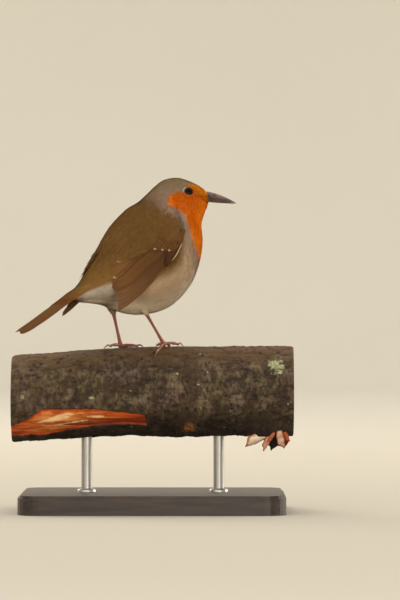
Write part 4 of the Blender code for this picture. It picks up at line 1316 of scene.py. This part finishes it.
# perch: the branch's own form, then its bark, bare patch and cut ends
branch = {
    "seed": 21, "radius": 21.0, "length": 132.0, "axis": 56.0, "dip": 3.6, "rows": 300, "columns": 288,
    "snagAlong": 52.0, "snagTurn": -152.0, "snagHigh": 3.2, "knotAlong": 17.0, "knotTurn": -139.5,
    "endRings": [0.992, 0.965, 0.93, 0.88, 0.8, 0.7, 0.6, 0.5, 0.4, 0.3, 0.2, 0.12, 0.05],  # shares of the cut end
}
degreeArc = 0.367  # mm round the branch for one degree
barePatch = {  # edges as mm along and degrees round, slivers of painted highlight from and to, with half their width
    "upper": ([-70, -66, -58, -51, -46, -25, -4], [-131, -127, -117, -104, -106, -110, -119]),
    "lower": ([-70, -66, -51, -38, -25, -4], [-146, -148, -151, -143, -136, -135]),
    "end": -3.2, "deep": 0.9,
    "slivers": [
        ((-55.0, -127), (-36.5, -115.5), 1.8), ((-30.5, -121), (-22.0, -122), 0.8),
        ((-46.0, -133), (-30.0, -127), 0.5),
    ],
}


def branchRadius(along, turn):
    swell = 0.018 * np.sin(along / 17.0 + 0.6) + 0.010 * np.sin(along / 7.3 + 2 * turn)
    flats = 0.016 * np.sin(3 * turn + 1.1) + 0.010 * np.sin(5 * turn + along / 21.0)
    calm = 1 - 0.8 * np.exp(-((turn / 0.9) ** 2))
    snag = bell(along, branch["snagAlong"], 6.0) * bell(turn, math.radians(branch["snagTurn"]), 0.26)
    return branch["radius"] * (1 + 0.00032 * along + (swell + flats) * calm) + branch["snagHigh"] * snag


def branchAxis(along):
    behind = np.maximum(0.0, -along - 8.0) / (branch["length"] / 2 - 8.0)
    return branch["axis"] - branch["dip"] * behind**1.3


def onBranch(along, turn, above):
    radius = branchRadius(along, turn) + above
    return np.stack(np.broadcast_arrays(along, radius * np.sin(turn), branchAxis(along) + radius * np.cos(turn)), -1)


def atPoints(read, points, scale, stretch):
    spots = points.reshape(-1, 3) * (np.asarray(stretch, float) / scale)
    return np.array([read(Vector(spot)) for spot in spots.tolist()]).reshape(points.shape[:-1])


def fractal(points, scale, octaves=4, stretch=(1, 1, 1)):
    return atPoints(lambda spot: noise.fractal(spot, 0.9, 2.1, octaves), points, scale, stretch)


def cells(points, scale, stretch=(1, 1, 1)):
    return atPoints(lambda spot: noise.voronoi(spot)[0][0], points, scale, stretch)


def bareDepth(along, degrees, ragged):
    # mm inside the border of the bare patch
    upper, lower = (np.interp(along, *barePatch[edge]) for edge in ("upper", "lower"))
    side = np.minimum(upper - degrees, degrees - lower) * 0.37 + ragged * 0.45
    return np.minimum(side, barePatch["end"] - along + ragged * 2.0)


def brightWood(along, degrees, ragged):
    # long slivers of painted highlight on the bare wood
    best = np.zeros(along.shape)
    for (along0, turn0), (along1, turn1), half in barePatch["slivers"]:
        share = np.clip((along - along0) / (along1 - along0), 0, 1)
        past = np.maximum(np.maximum(along0 - along, along - along1), 0)
        off = np.hypot((degrees - turn0 - (turn1 - turn0) * share) * degreeArc, past)
        taper = np.clip(np.minimum(share * 1.6 + 0.15, (1 - share) * 6), 0, 1)
        best = np.maximum(best, 1 - smooth(off + 0.35 * ragged, half * 0.5 * taper, half * 1.1 * taper + 0.05))
    return best


lichen = {  # the larger spots as mm along, degrees round and size, then how many small ones
    "spots": [
        (57.9, -54, 3.5), (59.8, -62, 1.6), (55.6, -50, 1.3), (22.0, -33, 0.45),
        (21.5, -80, 0.45), (-60.5, -88, 1.0), (-28, -94, 0.9),
    ],
    "small": 40, "sizes": (0.18, 0.5),
}


def lichenSpots(rng):
    small = [
        (rng.uniform(-64, 64), rng.uniform(-180, 180), rng.uniform(*lichen["sizes"]))
        for _ in range(lichen["small"])
    ]
    return lichen["spots"] + small


def makeBranch():
    rng, half = np.random.default_rng(branch["seed"]), branch["length"] / 2
    rows, columns = branch["rows"], branch["columns"]
    turns = np.linspace(-math.pi, math.pi, columns, endpoint=False)
    along, turn = np.meshgrid(np.linspace(-half, half, rows), turns, indexing="ij")
    degrees = np.degrees(turn)
    base = onBranch(along, turn, 0.0)
    rough = fractal(base, 7.0, 5)
    fine = fractal(base, 1.7, 4)
    pits = smooth(0.30 - cells(base, 3.1, (1, 0.8, 0.8)), 0.0, 0.22)
    seams = smooth(0.16 - np.abs(fractal(base + 40, 9.0, 3, (0.45, 1.5, 1.5))), 0.0, 0.16)
    ragged = fractal(base + 90, 2.6, 3)
    inside = bareDepth(along, degrees, ragged)
    peel = smooth(inside, -0.25, 0.35)
    knot = bell(along, branch["knotAlong"], 2.1) * bell(degrees, branch["knotTurn"], 6.5)
    snag = bell(along, branch["snagAlong"], 4.2) * bell(degrees, branch["snagTurn"], 11)
    crust = np.zeros(along.shape)
    for place, angle, size in lichenSpots(rng):
        apart = (degrees - angle + 180) % 360 - 180
        near = np.hypot(along - place, apart * degreeArc) / size
        crust = np.maximum(crust, smooth(1.0 - near + 0.75 * fine + 0.3 * ragged, 0.0, 0.25) * (near < 1.9))
    crust *= 1 - peel
    gentle = 1 - 0.65 * np.exp(-((turn / 0.55) ** 2)) * (np.abs(along + 6) < 34)
    relief = (0.42 * rough + 0.20 * fine - 0.30 * pits - 0.28 * seams) * gentle
    relief = relief * (1 - peel) + peel * (-barePatch["deep"] + 0.10 * fractal(base, 2.2, 3, (0.12, 1, 1)))
    lip = peel * (1 - peel) * 4
    spike = bell(along, -42.5, 0.8) * bell(degrees, -103, 2.6)
    relief = relief + 0.35 * lip + crust * (0.22 + 0.25 * np.abs(fine)) + 0.9 * knot * (0.6 + fine)
    relief = relief - 0.9 * snag * (0.6 + 0.8 * ragged) + 1.6 * spike
    rim = smooth(np.abs(along), half - 1.1, half)
    points = onBranch(along, turn, relief - 0.5 * rim**2)
    fromTop = np.abs(degrees)
    marks = {
        "peel": peel,
        "lichen": crust,
        "pit": np.clip(pits + seams * 0.6 + 1.2 * snag, 0, 1) * (1 - peel),
        "knot": np.clip(knot * 1.8, 0, 1),
        "wood": np.zeros(along.shape),
        "radial": np.ones(along.shape),
        "relief": np.clip(0.5 + rough * 0.9, 0, 1),
        "fibre": fractal(base, 3.0, 3, (0.1, 1, 1)),
        "gold": smooth(inside + 1.2 * ragged, 0.9, 3.0) * bell(along, -39, 16),
        "bright": peel * brightWood(along, degrees, ragged),
        "belt": smooth(fromTop, 32, 62) * (1 - smooth(fromTop, 108, 134)),
        # the underside, painted darker as shade
        "low": smooth(fromTop, 100, 132),
    }
    marks = {key: [value.ravel()] for key, value in marks.items()}
    spots, faces = [points.reshape(-1, 3)], turned([gridLoops(rows, columns, True)])
    start = rows * columns
    shares = np.array(branch["endRings"])
    for end, sign in ((0, -1), (rows - 1, 1)):
        middle = np.array([sign * half, 0.0, branchAxis(sign * half)])
        disc = middle + (points[end] - middle) * shares[:, None, None]
        saw = 0.12 * fractal(disc, 2.5, 3, (1, 0.25, 1.6))
        disc[..., 0] = sign * (half - 0.02 - np.abs(saw) - 0.25 * bell(shares, 0.94, 0.02)[:, None])
        spots.append(disc.reshape(-1, 3))
        first = np.concatenate([np.arange(columns) + end * columns, np.arange(len(shares) * columns) + start])
        last = np.arange(columns)[None] + start + (len(shares) - 1) * columns
        closing = [first[gridLoops(len(shares) + 1, columns, True)], last]
        faces += closing if sign < 0 else turned(closing)
        wood = smooth(-shares, -0.945, -0.925)[:, None]
        onEnd = {"wood": wood, "radial": shares[:, None], "relief": 0.5, "fibre": 0.5 + 2 * saw}
        for key in marks:
            marks[key].append(np.broadcast_to(onEnd.get(key, 0.0), saw.shape).ravel())
        start += saw.size
    marks = {key: np.concatenate(values) for key, values in marks.items()}
    points = np.concatenate(spots) * mm
    makePiece(
        "branch_bark", points, faces, barkFinish(), marks=marks, nodes=("perch_branch",), world=True,
    )


barkTones = {
    "dark": "#2a2018", "mid": "#4b3a2a", "grey": "#75654e", "pit": "#150f0b",
    # top is painted light for the branch's upper side
    "olive": "#6a6343", "lilac": "#6a5955", "top": "#634b2f", "lichen": "#a9ad84", "lichenDark": "#7d8260",
    # the palest wood tone is a painted highlight
    "wood": "#c0531d", "woodGold": "#dc8c44", "woodLight": "#e3a765", "peelHighlightTone": "#f2ca94", "woodDark": "#7a2c12",
    "knotDark": "#743814", "knot": "#cc8c4c", "cut": "#a98a62", "cutDark": "#6b4a2c",
}


def barkFinish():
    finish = Finish("bark", specularIorLevel=0.25)
    mark, step = finish.mark, finish.step

    def over(colour, factor, name):
        return finish.over(colour, factor, barkTones[name])

    broad = finish.noise(46.0, 4.0, at=finish.places((0.7, 1.0, 1.0)))
    patches = finish.noise(85.0, 3.0, at=finish.places((1.3, 1.0, 0.8)))
    fine = finish.noise(900.0, 5.0, 0.65)
    scaly = finish.noise(330.0, 5.0, 0.65, at=finish.places((1.15, 1.0, 0.8)), twist=0.4)
    grains = finish.noise(620.0, 4.0, 0.7, at=finish.places((1.2, 1.0, 0.7)))
    colour = over(tone(barkTones["dark"]), step(broad * 0.4 + scaly * 0.6, 0.32, 0.68), "mid")
    ridges = step(mark("relief") * 0.25 + scaly * 0.55 + grains * 0.3, 0.5, 0.85)
    colour = over(colour, ridges * (0.45 + mark("belt") * 0.55), "grey")
    colour = over(colour, step(patches, 0.5, 0.66) * step(grains, 0.42, 0.6) * mark("belt") * 0.5, "olive")
    colour = over(colour, step(patches, 0.5, 0.36) * step(grains, 0.44, 0.62) * 0.6, "lilac")
    # painted light: the top of the branch lighter and warmer
    colour = over(colour, (1 - mark("belt")) * (1 - mark("low")) * 0.5, "top")
    colour = over(colour, step(grains, 0.40, 0.30) * 0.6, "pit")
    colour = over(colour, mark("pit") * 0.75, "pit")
    crust = over(tone(barkTones["lichenDark"]), step(fine, 0.38, 0.62), "lichen")
    colour = finish.mix(mark("lichen") * 0.9, colour, crust)
    # the bare patch
    fibre = mark("fibre") * 0.8 + finish.noise(300.0, 5.0, 0.65, at=finish.places((0.10, 1.0, 1.0))) * 0.8
    streaks = finish.noise(700.0, 4.0, at=finish.places((0.12, 1, 1)))
    bare = over(tone(barkTones["woodDark"]), step(fibre, 0.05, 0.52), "wood")
    bare = over(bare, mark("gold") * step(fibre, 0.05, 0.6), "woodGold")
    bare = over(bare, step(streaks, 0.48, 0.66) * 0.6, "woodDark")
    bare = over(bare, step(streaks, 0.5, 0.34) * mark("gold") * 0.6, "woodLight")
    # painted highlight: pale streaks along the bare wood
    bare = over(bare, mark("bright") * step(streaks, 0.72, 0.5), "peelHighlightTone")
    bare = over(bare, step(mark("peel"), 0.99, 0.5) * 0.7, "woodDark")
    colour = finish.mix(step(mark("peel"), 0.3, 0.7), colour, bare)
    colour = finish.mix(mark("knot"), colour, over(tone(barkTones["knotDark"]), step(grains, 0.35, 0.6), "knot"))
    # the sawn ends
    depth = mark("radial") + broad * 0.42 + patches * 0.12
    wander = finish.node("ShaderNodeMath", {"operation": "SINE"}, {0: depth * 19.0})
    rings = finish.node("ShaderNodeMath", {"operation": "SINE"}, {0: depth * 84.0 + wander * 2.4})
    cut = over(tone(barkTones["cutDark"]), step(rings * 0.09 + fine * 0.6 + scaly * 0.4, 0.15, 0.85), "cut")
    cut = over(cut, step(mark("radial"), 0.5, 0.1) * 0.25, "cutDark")
    colour = finish.mix(mark("wood"), colour, cut)
    # painted shade: the underside darker, except on the bare patch
    colour = finish.shade(colour, 0.80 + fine * 0.44 - mark("low") * (1 - mark("peel")) * 0.5)
    height = scaly * 0.4 + grains * 0.35 + fine * 0.25 - mark("pit") * 0.3
    rough = 0.72 + fine * 0.22 - mark("peel") * 0.2
    return finish.paint(colour=colour, roughness=rough, normal=finish.bump(height, 0.8, 0.0006))


splinters = [  # root along, across and up, tip along and up, width, thickness, pale share, dark share
    (53.6, -11.5, 36.4, 43.2, 32.6, 4.8, 0.8, 1.0, 0.0),
    (52.0, -9.0, 37.5, 45.5, 34.6, 4.4, 0.8, 0.5, 0.7),
    (55.3, -12.0, 36.0, 51.2, 29.3, 2.7, 0.7, 0.4, 0.0),
    (56.8, -12.6, 37.3, 54.0, 32.6, 1.9, 0.6, 0.1, 0.0),
    (59.2, -12.4, 38.0, 60.4, 29.9, 3.5, 0.8, 0.55, 0.0),
    (61.6, -11.5, 37.4, 63.4, 33.0, 2.3, 0.6, 0.05, 0.0),
    (57.2, -8.5, 38.0, 57.6, 29.4, 5.6, 0.8, 0.0, 1.0),
    (60.8, -8.0, 38.0, 62.6, 30.6, 3.6, 0.8, 0.2, 0.8),
    (54.8, -5.0, 38.0, 53.0, 31.6, 4.0, 0.7, 0.3, 0.5),
]
splinter = {
    "seed": 17, "rows": 14, "wood": "#a8481a", "pale": "#f4dcc0", "bark": "#20150f",
    "outline": (
        (-1, -1), (-0.5, -1.15), (0, -0.9), (0.5, -1.1), (1, -1),
        (1, 1), (0.5, 1.05), (0, 0.85), (-0.5, 1.15), (-1, 1),
    ),
}


def makeSplinters():
    rng = np.random.default_rng(splinter["seed"])
    finish = Finish("tornWood", specularIorLevel=0.25)
    grain = finish.noise(420.0, 4.0, at=finish.places((0.5, 1, 1)))
    colour = finish.over(tone(splinter["wood"]), finish.mark("pale"), splinter["pale"])
    colour = finish.over(colour, finish.mark("rim") * 0.75, splinter["wood"])
    colour = finish.mix(finish.step(grain, 0.35, 0.6), finish.shade(colour, 0.6), colour)
    colour = finish.over(colour, finish.mark("bark"), splinter["bark"])
    torn = finish.paint(colour=colour, roughness=0.75 + grain * 0.15, normal=finish.bump(grain, 0.8, 0.0003))
    spots, faces, marks, start = [], [], {"bark": [], "pale": [], "rim": []}, 0
    rows, outline = splinter["rows"], splinter["outline"]
    columns = len(outline)
    for x, y, z, tipX, tipZ, wide, thick, pale, dark in splinters:
        root, reach = np.array([x, y, z]), 0.92 * np.array([tipX - x, 0.15 * (z - tipZ), tipZ - z])
        length = np.linalg.norm(reach)
        way = reach / length
        facing = unit(np.array([rng.uniform(-0.2, 0.2), -1.0, rng.uniform(-0.4, -0.1)]))
        side = unit(np.cross(way, facing))
        flat, slant = unit(np.cross(side, way)), rng.choice((-1, 1)) * rng.uniform(0.25, 0.5)
        for r in np.linspace(0, 1, rows):
            w = wide * (0.7 + 0.3 * min(r * 2.5, 1) - 0.25 * max(r - 0.5, 0)) * (1 + rng.normal(0, 0.05))
            for a, b in outline:
                jag = slant * a * w * min(r * 1.6, 1) + rng.uniform(-0.5, 0.4) * (r > 0.93)
                bend = 0.4 * math.sin(2.4 * r) - 0.3 * a * a
                rise = thick * (1 - 0.4 * r) * b * 0.5 + bend
                spots.append(root + way * (length * r + jag) + side * w * a * 0.5 + flat * rise)
                marks["bark"].append(max(dark, 0.7 * (b * flat[1] > 0 and pale > 0.9)))
                marks["pale"].append(pale)
                marks["rim"].append(1.0 if abs(a) > 0.9 or r > 0.9 else 0.0)
        faces += [gridLoops(rows, columns, True, start=start), *capFaces(rows, columns, start)]
        start += rows * columns
    makePiece("branch_splinters", np.array(spots) * mm, faces, torn, marks=marks, world=True)


makeBranch()
makeSplinters()
print("branch made")


# legs, toes and claws, on the branch
feet = {  # bare is mm from the thigh's lowest point to the end of its down, down holds the down's markings: the far (left) thigh's darker band and bend are painted shade, the near (right) thigh's pale tone is painted light
    "right": {
        "along": 11.2, "across": -2.8, "heading": 78.0, "hip": (0.4, -11.2, 20.5), "sign": -1,
        "bare": 2.4, "down": {"band": 0.1, "under": 0.4},
    },
    "left": {
        "along": -9.2, "across": 4.2, "heading": 45.0, "hip": (-13.8, 1.0, 22.0), "sign": 1,
        "bare": 1.3, "down": {"band": 0.7, "bend": 0.25},
    },
}
toes = {1: (186.0, 7.6, 5.4), 2: (-33.0, 8.0, 3.4), 3: (2.0, 11.6, 3.8), 4: (36.0, 9.2, 3.4)}  # spread, toe, claw
leg = {
    "tarsus": 0.9, "toe": 0.8, "toeTip": 0.6, "claw": 0.5, "clawHump": 0.9, "gap": 0.3, "palm": 1.25,
    "scute": 0.055, "scuteLong": 2.3, "toeScuteLong": 0.95,
    "rows": 110, "sides": 24, "toeRows": 64, "toeSides": 18, "clawRows": 34, "clawSides": 14,
    "skin": "#6c3524", "skinLight": "#8f563e", "groove": "#4d2a1b", "horn": "#8a6553", "hornTip": "#54402f",
}
thighDown = {"seed": 41, "count": 1100, "long": (2.2, 3.8), "wide": 0.34}


def sweep(path, radii, upHint, squash=1.0):
    along = unit(np.gradient(path, axis=0))
    side = unit(np.cross(along, upHint))
    over = np.cross(side, along)
    columns = radii.shape[1]
    turns = np.linspace(0, 2 * math.pi, columns, endpoint=False)
    ring = np.cos(turns)[None, :, None] * over[:, None] + np.sin(turns)[None, :, None] * side[:, None] * squash
    return path[:, None] + ring * radii[..., None]


def footPath(foot, angle, reach, height):
    way = math.radians(angle)
    first = math.asin(foot["across"] / branch["radius"])
    along = pose["along"] + foot["along"] + reach * math.cos(way)
    return onBranch(along, first + reach * math.sin(way) / branch["radius"], height)


def legEnds(foot):
    palm = footPath(foot, 0.0, 0.0, leg["gap"] + leg["palm"])
    return palm, np.array(foot["hip"]) + [pose["along"], 0, pose["branchTop"]]


def tubeFaces(rows, columns, start=0):
    return turned([gridLoops(rows, columns, True, start=start), *capFaces(rows, columns, start)])


def makeLegs():
    scaly = Finish("legScales", specularIorLevel=0.4)
    grain = scaly.noise(1500.0, 4.0)
    colour = scaly.over(tone(leg["skin"]), grain, leg["skinLight"])
    colour = scaly.over(colour, scaly.mark("groove"), leg["groove"])
    legSkin = scaly.paint(colour=colour, roughness=0.42 + grain * 0.2, normal=scaly.bump(grain, 0.5, 0.00012))
    horn = Finish("hornClaw", specularIorLevel=0.45)
    grain = horn.noise(1200.0, 3.0)
    colour = horn.shade(horn.over(tone(leg["horn"]), horn.mark("tip"), leg["hornTip"]), 0.8 + grain * 0.4)
    clawSkin = horn.paint(colour=colour, roughness=0.34 + grain * 0.15, normal=horn.bump(grain, 0.25, 0.00006))
    up = np.array([0.0, 0.0, 1.0])
    for side, foot in feet.items():
        spots, faces, grooves = [], [], []

        def add(rings, groove, turnFaces=list):
            faces.extend(turnFaces(tubeFaces(*rings.shape[:2], sum(len(part) for part in spots))))
            spots.append(rings.reshape(-1, 3))
            grooves.append(groove.ravel())

        palm, hip = legEnds(foot)
        run = np.linspace(-0.02, 0.9, leg["rows"])
        path = palm + (hip - palm) * run[:, None]
        turns = np.linspace(0, 2 * math.pi, leg["sides"], endpoint=False)
        shape = 1.22 - 0.40 * np.sin(math.pi * np.clip(run * 1.3, 0, 1))
        saw = (run * np.linalg.norm(hip - palm) / leg["scuteLong"]) % 1
        front = np.clip(np.cos(turns), 0, 1)[None]
        step = leg["scute"] * (saw[:, None] - 0.5) * front
        ankle = 0.22 * bell(run, 0.02, 0.05)
        radii = leg["tarsus"] * ((shape + ankle)[:, None] + step)
        ahead = np.array([math.cos(math.radians(foot["heading"])), math.sin(math.radians(foot["heading"])), 0.0])
        add(sweep(path, radii, ahead, 0.86), smooth(np.abs(saw[:, None] - 0.5), 0.40, 0.5) * front)
        for number, (spread, length, clawLength) in toes.items():
            angle = foot["heading"] + foot["sign"] * spread
            share = np.linspace(0, 1, leg["toeRows"])
            level = leg["gap"] + leg["toe"] + 0.5 * np.sin(math.pi * share)
            path = footPath(foot, angle, length * share * 1.03, level)
            turns = np.linspace(0, 2 * math.pi, leg["toeSides"], endpoint=False)
            saw = (share * length / leg["toeScuteLong"]) % 1
            top, low = np.clip(np.cos(turns), 0, 1)[None], np.clip(-np.cos(turns), 0, 1)[None]
            joints = 3 if number != 1 else 2
            pads = 0.13 * np.cos(2 * math.pi * joints * share)[:, None] * (0.4 + low)
            radii = (leg["toe"] + (leg["toeTip"] - leg["toe"]) * share) * (1 - smooth(share, 0.93, 1.0) * 0.45)
            radii = radii[:, None] * (1 + pads + 0.07 * (saw[:, None] - 0.5) * top)
            add(sweep(path, radii, up, 0.92), smooth(np.abs(saw[:, None] - 0.5), 0.38, 0.5) * top)

            rows, sides = leg["clawRows"], leg["clawSides"]
            share = np.linspace(0, 1, rows)
            hump = leg["clawHump"] * np.sin(math.pi * np.minimum(share * 1.25, 1)) * (1 - 0.35 * share)
            level = leg["gap"] + leg["toe"] + hump - (leg["toe"] - 0.25) * share**2
            path = footPath(foot, angle, length - 0.2 + (clawLength + 0.5) * share, level)
            radii = (leg["claw"] * 1.12 * (1 - 0.93 * share**1.25))[:, None] * np.ones((1, sides))
            points = sweep(path, radii, up, 0.66).reshape(-1, 3) * mm
            marks, node = {"tip": np.repeat(smooth(share, 0.2, 0.9), sides)}, f"claw_{side}_{number}"
            makePiece(
                "horn_" + node, points, tubeFaces(rows, sides), clawSkin, marks=marks, nodes=(node,),
                world=True,
            )
        turns, tilts = np.linspace(0, 2 * math.pi, 20, endpoint=False), np.linspace(0.08, math.pi - 0.08, 12)
        turn, tilt = np.meshgrid(turns, tilts)
        ball = np.stack([np.sin(tilt) * np.cos(turn), np.sin(tilt) * np.sin(turn), np.cos(tilt)], -1)
        add(ball * [1.35, 1.15, 0.95] + palm + [0, 0, -0.25], np.zeros(ball.shape[:2]), turned)
        points, marks = np.concatenate(spots) * mm, {"groove": np.concatenate(grooves)}
        makePiece(
            "scaled_leg_" + side, points, faces, legSkin, marks=marks, nodes=("leg_" + side,),
            world=True,
        )


def makeThighTufts():
    rng, count = np.random.default_rng(thighDown["seed"]), thighDown["count"]
    finish = plumageFinish("thighDown")
    for side, foot in feet.items():
        palm, hip = legEnds(foot)
        bottom = float(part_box("thigh_" + side)[0][2]) / mm + foot["bare"]
        way = unit(palm - hip)
        end = hip + way * ((hip[2] - bottom) / -way[2])
        turn, layer = rng.uniform(0, 2 * math.pi, count), rng.uniform(0, 1, count)
        sideways = unit(np.cross(way, [1.0, 0, 0]))
        other = np.cross(way, sideways)
        ring = np.cos(turn)[:, None] * sideways + np.sin(turn)[:, None] * other
        start = end - way * (1.0 + 5.4 * layer)[:, None] + ring * (1.0 + 2.5 * layer)[:, None]
        length = rng.uniform(*thighDown["long"], count) * (0.7 + 0.5 * layer)
        run = bladeRun[None, :, None]
        curl = 0.75 * (0.4 + 1.2 * layer)[:, None, None] * run**1.6 * rng.uniform(0.6, 1.3, (count, 1, 1))
        line = (start[:, None] + way * (length[:, None, None] * run) - ring[:, None] * curl)[:, None]
        normal = np.broadcast_to(ring[:, None, None], line.shape)
        left, right, _ = bladeMesh(line, normal, thighDown["wide"] * bladeWide * np.ones((count, 1, 1)))
        points = joinBlades(left, right).reshape(-1, 3)
        marks = {**dict.fromkeys(plumage, 0.0), "belly": 1.0, "vent": 0.3, **foot["down"]}
        marks = {key: np.full(len(points), value) for key, value in marks.items()}
        marks["vary"] = np.repeat(rng.uniform(0, 0.8, count), bladePoints)
        marks["along"] = np.tile(pointRun, count)
        root = np.stack([turn / 6.4 + 0.01, 0.02 + 0.94 * layer], -1)[:, None]
        patch = (root + bladePatch * [0.0013, 0.0015]).reshape(-1, 2)
        normals = np.repeat(ring, bladePoints, 0)
        makePiece(
            "thigh_tufts_" + side, points * mm, coatFaces(count), finish, {"OFBake": patch}, marks, normals,
            world=True,
        )


makeLegs()
makeThighTufts()
print("legs made")


# display stand: a dark stained board and two steel rods
stand = {
    "rodRadius": 2.5, "spacing": 62.0, "board": 9.0, "collar": 4.4, "collarHigh": 1.6,
    "boardDark": "#1d1512", "boardTone": "#3e2d24", "pores": "#120c0a", "steel": "#8b8a88", "steelLight": "#b9b8b4",
}


def standFinishes():
    board = Finish("stainedBoard", specularIorLevel=0.4, coatRoughness=0.3)
    grain = board.noise(60.0, 5.0, 0.6, at=board.places((0.35, 4.0, 4.0)), twist=1.2)
    pores = board.noise(700.0, 3.0, at=board.places((0.1, 1.0, 1.0)))
    colour = board.over(tone(stand["boardDark"]), board.step(grain, 0.35, 0.68), stand["boardTone"])
    colour = board.over(colour, board.step(pores, 0.58, 0.72) * 0.5, stand["pores"])
    normal = board.bump(grain * 0.5 + pores * 0.5, 0.25, 0.0002)
    boardSkin = board.paint(colour=colour, roughness=0.36 + grain * 0.2, coat=0.15 + grain * 0.1, normal=normal)
    steel = Finish("brushedSteel", metallic=1.0)
    brush = steel.noise(900.0, 3.0, at=steel.places((1.0, 1.0, 0.04)))
    colour = steel.over(tone(stand["steel"]), brush, stand["steelLight"])
    steelSkin = steel.paint(colour=colour, roughness=0.26 + brush * 0.22, normal=steel.bump(brush, 0.2, 0.00005))
    return boardSkin, steelSkin


def makeStand():
    boardSkin, steelSkin = standFinishes()
    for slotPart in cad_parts["stand_base"].material_slots:
        slotPart.link = "OBJECT"
        slotPart.material = boardSkin
    for number, sign in ((1, -1), (2, 1)):
        node = f"stand_rod_{number}"
        x, foot, top = sign * stand["spacing"] / 2, stand["board"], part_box(node)[1][2] / mm + 1.5
        radius, collar, collarTop = stand["rodRadius"], stand["collar"], foot + stand["collarHigh"]
        profile = [
            (0.01, foot - 0.2), (collar, foot - 0.2), (collar, foot + 0.9), (collar - 0.25, foot + 1.3),
            (collar - 0.7, collarTop),
            (radius + 0.25, collarTop), (radius + 0.02, collarTop - 0.2), (radius, collarTop + 0.1),
            (radius, (foot + top) / 2),
            (radius, top), (0.01, top),
        ]
        turns = np.linspace(0, 2 * math.pi, 64, endpoint=False)
        points = np.array([[x + r * math.cos(t), r * math.sin(t), z] for r, z in profile for t in turns]) * mm
        faces = gridLoops(len(profile), len(turns), True)
        rod = makePiece(
            "stand_steel_rod_" + str(number), points, faces, steelSkin, nodes=(node,), world=True,
        )
        rod.data.set_sharp_from_angle(angle=math.radians(35))


makeStand()
print("stand made")
